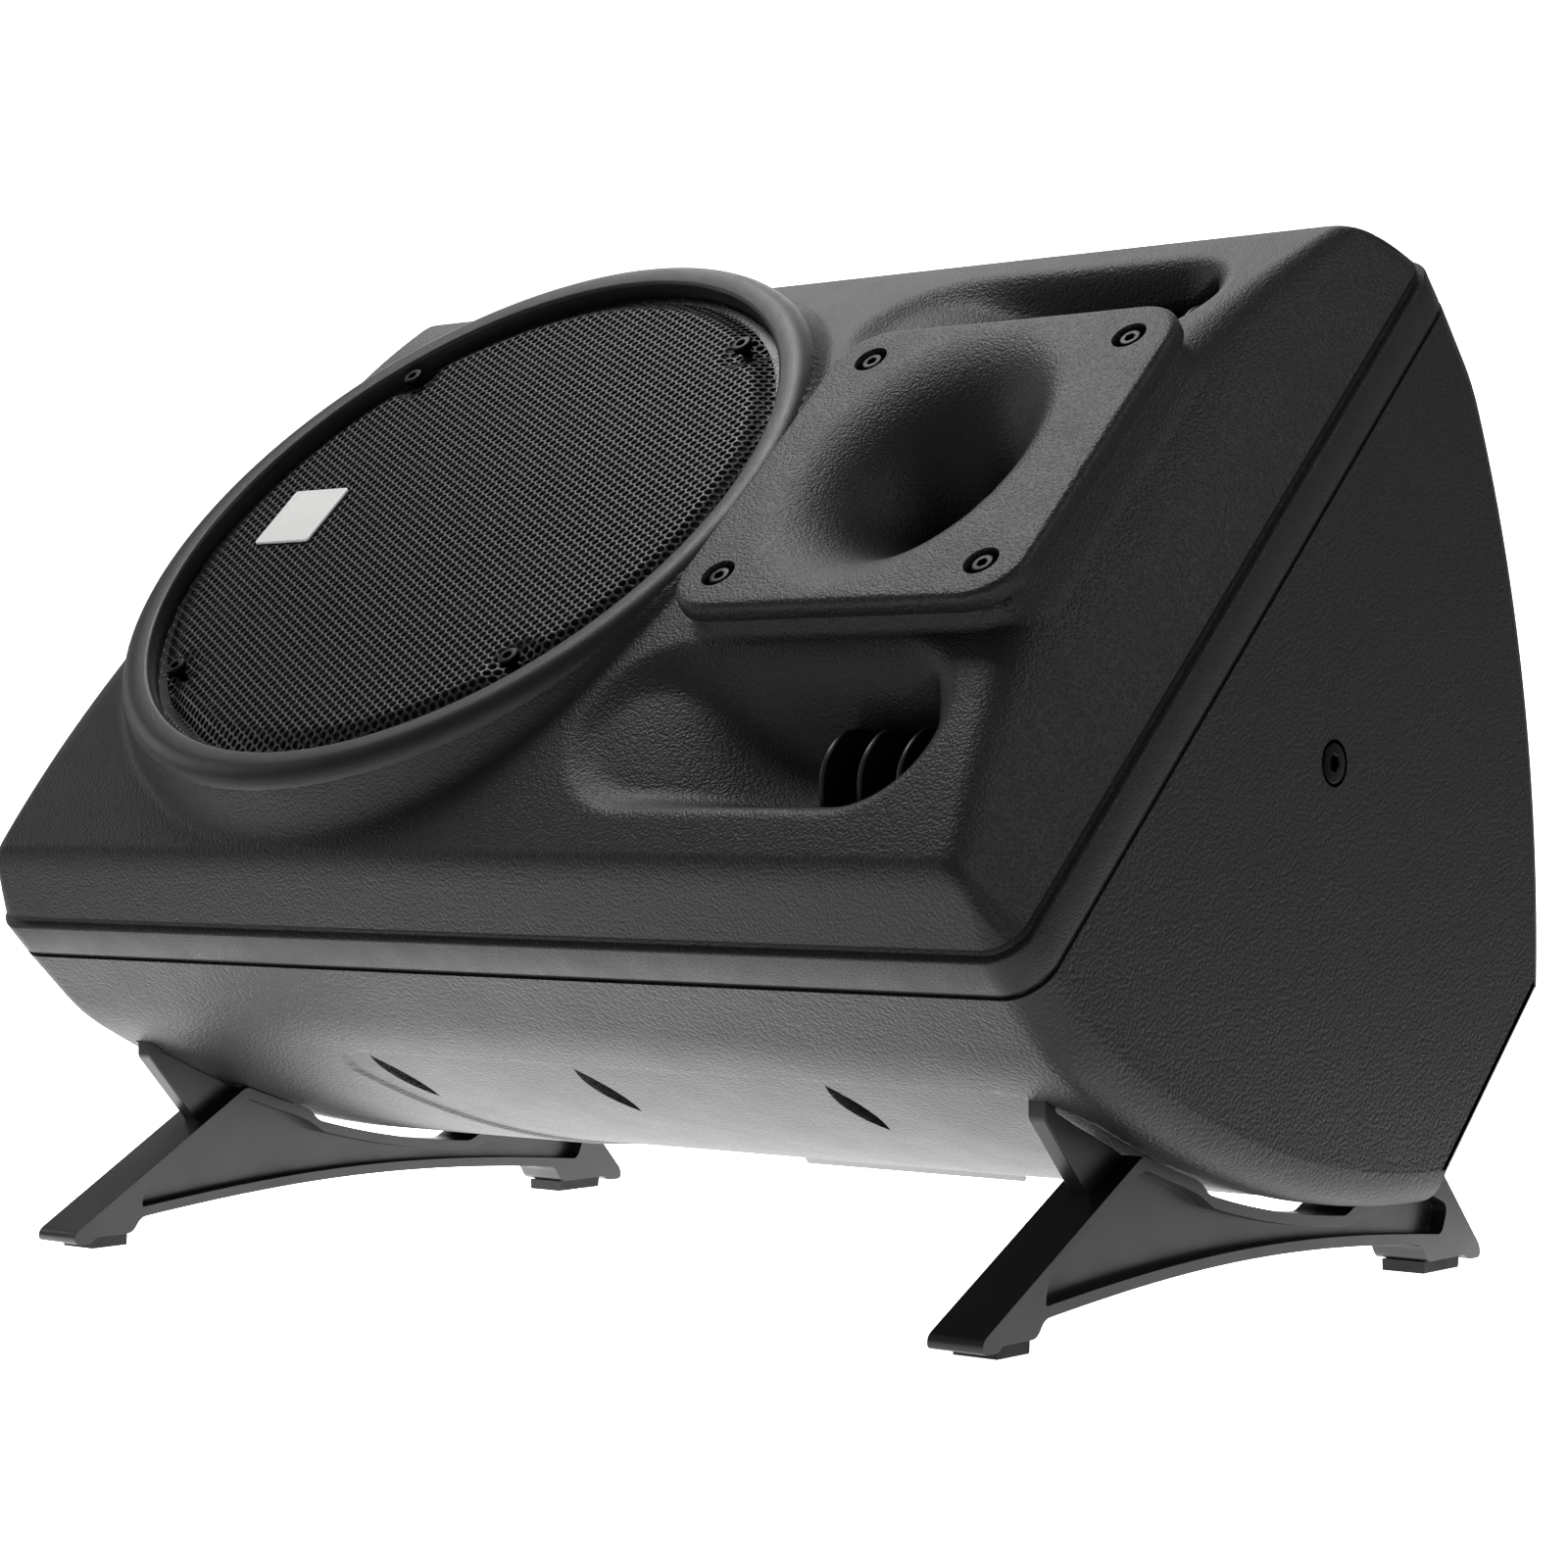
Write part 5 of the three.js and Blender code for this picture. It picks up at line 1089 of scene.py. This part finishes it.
# ---------------------------------------------------------------- reflex ducts


class WEDGE_OT_ducts(bpy.types.Operator):
    """Moulds each reflex duct and the three curved fins in its mouth"""

    bl_idname = "wedge.ducts"
    bl_label = "Reflex ducts"

    def execute(self, context):
        for node, side in (("reflex_duct_upper", 1), ("reflex_duct_lower", -1)):
            low, high = cabinet_box(node)
            sill = SCOOP["floor"] - 4
            middle = (low + high) / 2
            half_x, half_y = (high[0] - low[0]) / 2, (high[1] - low[1]) / 2
            outer = rounded_outline(*middle[:2], half_x, half_y, DUCT_CORNER)
            inner = rounded_outline(
                *middle[:2], half_x - DUCT_WALL, half_y - DUCT_WALL, DUCT_CORNER - DUCT_WALL)
            blank = prism_mesh("tube", outer, low[2], sill, to_part, "satin")
            bore = prism_mesh("bore", inner, low[2] - 2, sill + 2, to_part, "satin")
            tube = cut_mesh(f"{node}_tube", blank, [bore], 40)
            new_piece(f"{node}_tube", tube, "cabinet", [node])
            for index in range(3):
                x = middle[0] + (index - 1) * FIN_PITCH
                fin = fin_mesh(x, middle[1], half_y - DUCT_WALL - 0.5, sill)
                fin = new_piece(f"{node}_fin_{index + 1}", fin, "cabinet")
                soften(fin, 0.7)
        return {"FINISHED"}


def fin_mesh(x, middle_y, half_y, sill):
    """An upright blade whose top edge is an even arch."""
    root = sill - FIN_ROOT
    arch = [(middle_y + half_y * t, sill + FIN_RISE * (1 - abs(t) ** 2.4))
            for t in np.linspace(1, -1, 25)]
    outline = [(middle_y - half_y, root), (middle_y + half_y, root), *arch]

    def place(points):
        return to_part(np.column_stack([x + points[:, 2], points[:, 0], points[:, 1]]))

    return prism_mesh("fin", outline, -FIN_THICKNESS / 2, FIN_THICKNESS / 2, place, "satin")


# ---------------------------------------------------------------- feet
# Drawn standing on the floor: [distance along Y, height] in millimetres.

FOOT_RELIEF, FOOT_FLANGE, FOOT_WEB, FOOT_CLAW, FOOT_CLEARANCE = 4, 4.5, 11, 36, 0.5
ARCH_LOW, ARCH_HIGH, TIP_LOW, PAD_SEAT = 8, 20, 3, 5.3
PAD_TEETH, PAD_HALF_WIDTH, TOOTH_HEIGHT, BLADE_HALF_WIDTH = 12, 10, 0.9, 4
ELBOW_SHARE = 0.31  # how far round the belly the strut gives way to the hook's blade


def belly_off(share, off):
    """A point off the lower belly, in floor coordinates."""
    (y, z), angle = on_belly(share)
    off += FOOT_CLEARANCE
    return floor_of([[y + off * math.sin(angle), z - off * math.cos(angle)]])[0]


def round_corners(points, radius, sharpest=18):
    """The closed outline with each corner over some degrees drawn as a curve."""
    points = np.array(points, float)
    found = []
    for before, here, after in zip(np.roll(points, 1, 0), points, np.roll(points, -1, 0)):
        back, on = before - here, after - here
        back_length, on_length = np.linalg.norm(back), np.linalg.norm(on)
        turn = math.pi - math.acos(np.clip(back @ on / (back_length * on_length), -1, 1))
        if turn < math.radians(sharpest):
            found.append(here)
            continue
        start = here + back * min(0.45, radius / back_length)
        end = here + on * min(0.45, radius / on_length)
        found += [(1 - t) ** 2 * start + 2 * t * (1 - t) * here + t**2 * end
                  for t in np.linspace(0, 1, 7)]
    return np.array(found)


def inset_outline(points, distance):
    """A closed anticlockwise outline moved in, with mitred corners."""
    edges = np.roll(points, -1, 0) - points
    edges /= np.linalg.norm(edges, axis=1)[:, None]
    after = np.column_stack([-edges[:, 1], edges[:, 0]])
    before = np.roll(after, 1, 0)
    return points + distance * (before + after) / (1 + (before * after).sum(1))[:, None]


def foot_edges(toe, heel):
    """The arch, the seats under the belly, and the claw behind the cabinet."""

    def arch(start, end, count):
        along = np.linspace(start, end, count)
        rise = (ARCH_HIGH - ARCH_LOW) * np.sin(math.pi * (along - toe) / (heel - toe))
        return list(zip(along, ARCH_LOW + rise))

    shares = np.linspace(0.97, ELBOW_SHARE, 34)
    relief = FOOT_RELIEF * ease((shares - 0.46) / 0.03) * ease((0.9 - shares) / 0.03)
    under = [belly_off(share, off) for share, off in zip(shares, relief)]
    claw = floor_of([[-BACK_HALF_WIDTH + FOOT_CLAW, BACK_Z - FOOT_CLEARANCE]])[0]
    corner = floor_of([[-BACK_HALF_WIDTH - 1, BACK_Z - FOOT_CLEARANCE]])[0]
    return arch, under, claw, corner


def foot_outline(toe, heel):
    """The strut seen from the side: tips and pad seats, arch, claw and belly seats."""
    arch, under, claw, corner = foot_edges(toe, heel)
    outline = [
        (toe, TIP_LOW), (toe + 10, TIP_LOW), (toe + 11.7, PAD_SEAT), (toe + 33, PAD_SEAT),
        *arch(toe + 38, heel - 50, 36), (heel - 45, PAD_SEAT), (heel - 13.5, PAD_SEAT),
        (heel - 10, TIP_LOW), (heel, TIP_LOW), (heel, ARCH_LOW), (claw[0] + 4, claw[1] - 3), claw,
        corner, *under, (toe, ARCH_LOW)]
    return round_corners(outline, 3.2)


def between(start, end, share):
    """The point that lies a share of the way from one point to another."""
    return np.array(start) + (np.array(end) - start) * share


def foot_hollow(toe, heel):
    """The sunk web on each side of the strut, a flange's depth inside its outline."""
    arch, under, claw, corner = foot_edges(toe, heel)
    rim = [*arch(toe + 32, heel - 30, 30), between((heel, ARCH_LOW), claw, 0.45),
           between(corner, claw, 0.5), *under[1::2], between((toe, ARCH_LOW), under[-1], 0.36)]
    return round_corners(inset_outline(np.array(rim, float), FOOT_FLANGE), 5)


def blade_outline():
    """The web that carries the hook from the strut up into the cabinet's pocket."""
    hook = floor_of([on_belly(HOOK_SHARE)[0]])[0]
    elbow = belly_off(ELBOW_SHARE, 0)
    rise = [belly_off(share, 0) for share in np.linspace(0.27, 0.15, 9)]
    return round_corners([
        (elbow[0] - 6, elbow[1] - 10), (elbow[0], elbow[1] - 1), *rise, (hook[0] + 3.5, hook[1] - 2.5),
        (hook[0] + 3.5, hook[1] + 5), (hook[0] - 3.5, hook[1] + 5.6), (hook[0] - 3.5, hook[1] - 5),
        (elbow[0] - 22, elbow[1] - 16)], 1.4)


def upright_prism(name, outline, x, low, high, look="satin"):
    """A prism along X whose outline is [Y, height], in millimetres."""

    def place(points):
        return np.column_stack([x + points[:, 2], points[:, 0], points[:, 1]]) * MM

    return prism_mesh(name, np.asarray(outline).tolist(), low, high, place, look)


def pad_outline(start, end, top):
    """A rubber pad seen from the side, its sole cut into teeth."""
    pitch = (end - start) / PAD_TEETH
    tooth = ((0.15 * pitch, 0), (0.6 * pitch, 0), (0.85 * pitch, TOOTH_HEIGHT))
    sole = [(start + pitch * i + step, height) for i in range(PAD_TEETH) for step, height in tooth]
    return [*sole, (end, top), (start, top)]


class WEDGE_OT_feet(bpy.types.Operator):
    """Moulds each clip-on foot, its hooked blade and its two ribbed pads"""

    bl_idname = "wedge.feet"
    bl_label = "Feet"

    def execute(self, context):
        for name in FEET:
            points = node_points(name)
            low, high = points.min(0), points.max(0)
            x, half = (low[0] + high[0]) / 2, (high[0] - low[0]) / 2
            toe, heel = low[1], high[1]
            blank = upright_prism(name, foot_outline(toe, heel), x, -half, half)
            hollow = foot_hollow(toe, heel)
            cutters = [upright_prism("hollow", hollow, x, side, side + half)
                       for side in (FOOT_WEB / 2, -FOOT_WEB / 2 - half)]
            for pad in ("front_pad", "rear_pad"):
                box = node_points(f"{name}_{pad}")
                start, end, top = box[:, 1].min(), box[:, 1].max(), box[:, 2].max()
                ribbed = upright_prism(
                    f"{name}_{pad}_ribbed", pad_outline(start, end, top), x,
                    -PAD_HALF_WIDTH, PAD_HALF_WIDTH, "rubber")
                new_piece(f"{name}_{pad}_ribbed", ribbed, name, [f"{name}_{pad}"])
            strut = cut_mesh(name, blank, cutters, 25)
            soften(new_piece(f"{name}_strut", strut, name, [name]), 1.3)
            blade = upright_prism(
                f"{name}_blade", blade_outline(), x, -BLADE_HALF_WIDTH, BLADE_HALF_WIDTH)
            soften(new_piece(f"{name}_blade", blade, name), 0.6)
        return {"FINISHED"}


# ---------------------------------------------------------------- screws


def hexagon_reach(angle, flat):
    """Distance from a hexagon's middle to its edge; flat is its distance to a flat."""
    turn = (angle + math.pi / 6) % (math.pi / 3) - math.pi / 6
    return flat / np.cos(turn)


def screw_mesh(name, base, along, across, head, height, key, shank, length, look):
    """A socket screw. base is the point under its head, along its axis out of the work."""
    angle = np.linspace(0, 2 * math.pi, SCREW_SIDES, endpoint=False)
    key_reach = hexagon_reach(angle, key)
    turned = [(shank, -length), (shank, -0.2), (head * 0.98, 0), (head, 0.3)]
    turned += corner_points((head - SCREW_ROUND, height - SCREW_ROUND), SCREW_ROUND, 0, 90)
    rows = [(np.full(SCREW_SIDES, r), h) for r, h in turned]
    rows += [(key_reach + 0.35, height), (key_reach, height - 0.3), (key_reach, height * 0.35),
             (key_reach * 0.2, height * 0.25)]
    other = np.cross(along, across)
    points = np.vstack([
        base + np.outer(r * np.cos(angle), across) + np.outer(r * np.sin(angle), other)
        + h * np.asarray(along)
        for r, h in rows])
    faces = [tuple(f) for f in grid_faces(len(rows), SCREW_SIDES, False, True)]
    faces.append(tuple(range((len(rows) - 1) * SCREW_SIDES, len(rows) * SCREW_SIDES)))
    faces.append(tuple(range(SCREW_SIDES))[::-1])
    return new_mesh(name, to_part(points), faces, [look], sharp=35)


UP, DOWN = (0.0, 0.0, 1.0), (0.0, 0.0, -1.0)
LONG, BACKWARDS = (1.0, 0.0, 0.0), (-1.0, 0.0, 0.0)
SCREW = {"height": 3.2, "key": 1.9, "shank": 2.2}
RIGGING_SCREW = {"head": 8, "height": 3.5, "sunk": 4.4, "key": 3.2, "shank": 3.9, "length": 14}
SCREW_GROUPS = [
    ("grille_screw", 4, UP, "black_steel"), ("horn_screw", 4, UP, "black_steel"),
    ("woofer_screw", 4, UP, "zinc"), ("panel_screw", 4, DOWN, "black_steel"),
]


class WEDGE_OT_screws(bpy.types.Operator):
    """Turns every socket screw with its hexagon"""

    bl_idname = "wedge.screws"
    bl_label = "Screws"

    def execute(self, context):
        for group, count, along, look in SCREW_GROUPS:
            for index in range(count):
                node = f"{group}_{index + 1}"
                low, high = cabinet_box(node)
                centre = (low + high) / 2
                head = (high[0] - low[0]) / 2
                height = SCREW["height"]
                centre[2] = high[2] - height if along[2] > 0 else low[2] + height
                length = high[2] - low[2] - height
                mesh = screw_mesh(
                    f"{node}_turned", centre, along, LONG, head, height, SCREW["key"],
                    SCREW["shank"], length, look)
                new_piece(f"{node}_turned", mesh, "cabinet", [node])
        for side, along in (("right", LONG), ("left", BACKWARDS)):
            node = f"rigging_screw_{side}"
            low, high = cabinet_box(node)
            centre = (low + high) / 2
            size = RIGGING_SCREW
            centre[0] = high[0] - size["sunk"] if along[0] > 0 else low[0] + size["sunk"]
            mesh = screw_mesh(
                f"{node}_turned", centre, along, UP, size["head"], size["height"], size["key"],
                size["shank"], size["length"], "black_steel")
            new_piece(f"{node}_turned", mesh, "cabinet", [node])
        return {"FINISHED"}


# ---------------------------------------------------------------- pieces kept from the frame

# Each node's look, and the width of its bevel in millimetres.
KEPT = {
    "seam_gasket": ("foam", 0), "horn_gasket": ("foam", 0), "acoustic_lining": ("foam", 1),
    "woofer_basket": ("panel", 0.5), "woofer_magnet": ("ferrite", 1),
    "woofer_surround": ("rubber", 0.4), "woofer_spider": ("paper", 0.2),
    "woofer_voice_coil": ("copper", 0),
    "compression_driver": ("ferrite", 0.8), "driver_cap": ("satin", 0.8),
    "rigging_insert_right": ("brass", 0.3), "rigging_insert_left": ("brass", 0.3),
    "amp_panel": ("panel", 0.4), "heatsink": ("aluminium", 0.3), "amp_board": ("board", 0.2),
    "transformer": ("copper", 0.5), "mains_inlet": ("satin", 0.4), "switch_housing": ("satin", 0.4),
    "power_rocker": ("satin", 0.4), "power_light": ("lamp", 0.5), "input_socket": ("satin", 0.4),
    "link_socket": ("satin", 0.4), "level_knob": ("rubber", 0.3), "treble_knob": ("rubber", 0.3),
    "bass_knob": ("rubber", 0.3),
}


class WEDGE_OT_kept_pieces(bpy.types.Operator):
    """Gives each piece kept from the frame its finish and softened edges"""

    bl_idname = "wedge.kept_pieces"
    bl_label = "Kept pieces"

    def execute(self, context):
        for name, (look, bevel) in KEPT.items():
            piece = frame["nodes"][name]
            piece.data.materials.clear()
            piece.data.materials.append(LOOKS[look])
            piece.data.shade_smooth()
            piece.data.set_sharp_from_angle(angle=math.radians(30))
            weld = piece.modifiers.new("weld", "WELD")
            weld.merge_threshold = 0.01 * MM
            if bevel:
                soften(piece, bevel, 2)
        return {"FINISHED"}


# ---------------------------------------------------------------- stage

CAMERA_AT = (1.0373, -1.2283, 0.2062)
CAMERA_TOWARDS = (-0.6375, 0.7704, 0.0)
SENSOR = 36
# The sweep in metres: half its width, its front edge, where it starts to rise, the rise's radius
# and its top.
SWEEP = {"half": 6, "front": -6, "bend": 1.6, "radius": 1.4, "top": 5}
GLOW_AT, GLOW_STRENGTH = (-0.12, 0.12, 0.0), 2.2
# Name, place, side of the square and watts of each softbox.
LIGHTS = (
    ("top_softbox", (-0.9, 0.0, 2.2), 1.0, 26),
    ("left_softbox", (-2.2, -0.6, 0.9), 0.9, 5),
    ("right_softbox", (1.9, 0.3, 1.6), 0.8, 9),
)
LIGHTS_AIM = (0, 0, 0.2)
ROOM_GREY, ROOM_STRENGTH = "e0e0e0", 0.3


def sweep_mesh():
    """A floor that curves up into a wall behind the object."""
    away = np.array(CAMERA_TOWARDS[:2])
    side = np.array([away[1], -away[0]])
    bend, radius = SWEEP["bend"], SWEEP["radius"]
    run = [(SWEEP["front"], 0), (bend, 0)]
    run += [(bend + radius * math.sin(t), radius * (1 - math.cos(t)))
            for t in np.linspace(0.1, math.pi / 2, 16)]
    run.append((bend + radius, SWEEP["top"]))
    points = []
    for along, height in run:
        for across in (-SWEEP["half"], SWEEP["half"]):
            spot = away * along + side * across
            points.append((spot[0], spot[1], height))
    return points, grid_faces(len(run), 2)


def faded(tree, value, start, end, low, high):
    """A smooth step from one strength to another as a value runs between two marks."""
    made = add_node(tree, "ShaderNodeMapRange", {"interpolation_type": "SMOOTHSTEP"}, {
        "Value": value, "From Min": start, "From Max": end, "To Min": low, "To Max": high})
    return made.outputs["Result"]


def sweep_glow(tree, here):
    """The sweep's strength: even behind the cabinet, strong under it, dark to the sides and front.

    Distances are metres from the middle of the floor: along the sweep, and aside from its middle.
    """

    def value_of(kind, operation, *values):
        made = add_node(tree, kind, {"operation": operation}, dict(enumerate(values)))
        return made.outputs["Value"]

    away = Vector(CAMERA_TOWARDS)
    across = Vector((away.y, -away.x, 0))
    along = value_of("ShaderNodeVectorMath", "DOT_PRODUCT", here, away)
    aside = value_of("ShaderNodeVectorMath", "DOT_PRODUCT", here, across)
    aside = value_of("ShaderNodeMath", "ABSOLUTE", aside)
    apart = value_of("ShaderNodeVectorMath", "DISTANCE", here, GLOW_AT)
    even = faded(tree, along, -0.4, 0.9, 0.8, 1.5)
    near = faded(tree, apart, 0.15, 0.6, GLOW_STRENGTH, 0)
    total = value_of("ShaderNodeMath", "ADD", even, near)
    front = faded(tree, along, -1.5, -1.1, 0, 1)
    spread = value_of("ShaderNodeMath", "MULTIPLY_ADD", along, -0.24, aside)
    sides = faded(tree, spread, 0.42, 0.62, 1, 0)
    mask = value_of("ShaderNodeMath", "MULTIPLY", front, sides)
    return value_of("ShaderNodeMath", "MULTIPLY", total, mask)


def add_light(name, at, size, power):
    """A white square softbox that faces the cabinet; size in metres, power in watts."""
    light = bpy.data.lights.new(name, "AREA")
    light.shape, light.size, light.energy = "SQUARE", size, power
    lamp = bpy.data.objects.new(name, light)
    lamp.location = at
    lamp.rotation_euler = (Vector(LIGHTS_AIM) - Vector(at)).to_track_quat("-Z", "Y").to_euler()
    bpy.context.scene.collection.objects.link(lamp)


class WEDGE_OT_stage(bpy.types.Operator):
    """Lays the pale sweep and sets the lights and camera"""

    bl_idname = "wedge.stage"
    bl_label = "Stage"

    def execute(self, context):
        scene = context.scene
        settings = scene.wedge_stage
        look, tree, shader, here = new_look("seamless_paper_white", {"Roughness": 0.9})
        tint(tree, shader, here, 3, settings.floor_colour, "ffffff")
        shader.inputs["Emission Color"].default_value = (1, 1, 1, 1)
        # It glows like a light table, brightest under the cabinet, and fades to the sides and front.
        glow = sweep_glow(tree, here)
        tree.links.new(glow, shader.inputs["Emission Strength"])
        LOOKS["sweep"] = look
        points, faces = sweep_mesh()
        sweep = bpy.data.objects.new("sweep", new_mesh("sweep", points, faces, ["sweep"]))
        scene.collection.objects.link(sweep)
        for light in LIGHTS:
            add_light(*light)
        world = bpy.data.worlds.new("room")
        world.use_nodes = True
        background = world.node_tree.nodes["Background"]
        background.inputs["Color"].default_value = linear(ROOM_GREY)
        background.inputs["Strength"].default_value = ROOM_STRENGTH
        scene.world = world
        scene.view_settings.view_transform = "Standard"
        lens = bpy.data.cameras.new("camera")
        lens.lens, lens.sensor_width = settings.lens, SENSOR
        camera = bpy.data.objects.new("camera", lens)
        camera.location = CAMERA_AT
        camera.rotation_euler = Vector(CAMERA_TOWARDS).to_track_quat("-Z", "Y").to_euler()
        scene.collection.objects.link(camera)
        scene.camera = camera
        return {"FINISHED"}


# ---------------------------------------------------------------- panel and registration

OPERATORS = (
    WEDGE_OT_stage, WEDGE_OT_front_shell, WEDGE_OT_rear_shell, WEDGE_OT_grille, WEDGE_OT_horn,
    WEDGE_OT_woofer, WEDGE_OT_ducts, WEDGE_OT_feet, WEDGE_OT_screws, WEDGE_OT_kept_pieces,
)


class WEDGE_PT_panel(bpy.types.Panel):
    """Lists the wedge's sizes and the steps that build it"""

    bl_label = "Stage monitor wedge"
    bl_space_type = "VIEW_3D"
    bl_region_type = "UI"
    bl_category = "Wedge"

    def draw(self, context):
        for settings, names in (
            (context.scene.wedge_shell, ("colour", "grain", "grain_depth", "ridge_softness")),
            (context.scene.wedge_grille, ("pitch", "hole", "thickness")),
            (context.scene.wedge_stage, ("floor_colour", "lens")),
        ):
            for name in names:
                self.layout.prop(settings, name)
        for operator in OPERATORS:
            self.layout.operator(operator.bl_idname)


GROUPS = {
    "wedge_shell": WedgeShellSettings,
    "wedge_grille": WedgeGrilleSettings,
    "wedge_stage": WedgeStageSettings,
}


def register():
    for group in GROUPS.values():
        bpy.utils.register_class(group)
    for name, group in GROUPS.items():
        setattr(bpy.types.Scene, name, bpy.props.PointerProperty(type=group))
    for operator in OPERATORS:
        bpy.utils.register_class(operator)
    bpy.utils.register_class(WEDGE_PT_panel)


def unregister():
    bpy.utils.unregister_class(WEDGE_PT_panel)
    for operator in reversed(OPERATORS):
        bpy.utils.unregister_class(operator)
    for name, group in GROUPS.items():
        delattr(bpy.types.Scene, name)
        bpy.utils.unregister_class(group)


def main():
    register()
    make_looks()
    bpy.ops.wedge.stage()
    bpy.ops.wedge.front_shell()
    bpy.ops.wedge.rear_shell()
    bpy.ops.wedge.grille()
    bpy.ops.wedge.horn()
    bpy.ops.wedge.woofer()
    bpy.ops.wedge.ducts()
    bpy.ops.wedge.feet()
    bpy.ops.wedge.screws()
    bpy.ops.wedge.kept_pieces()


if __name__ == "__main__":
    main()
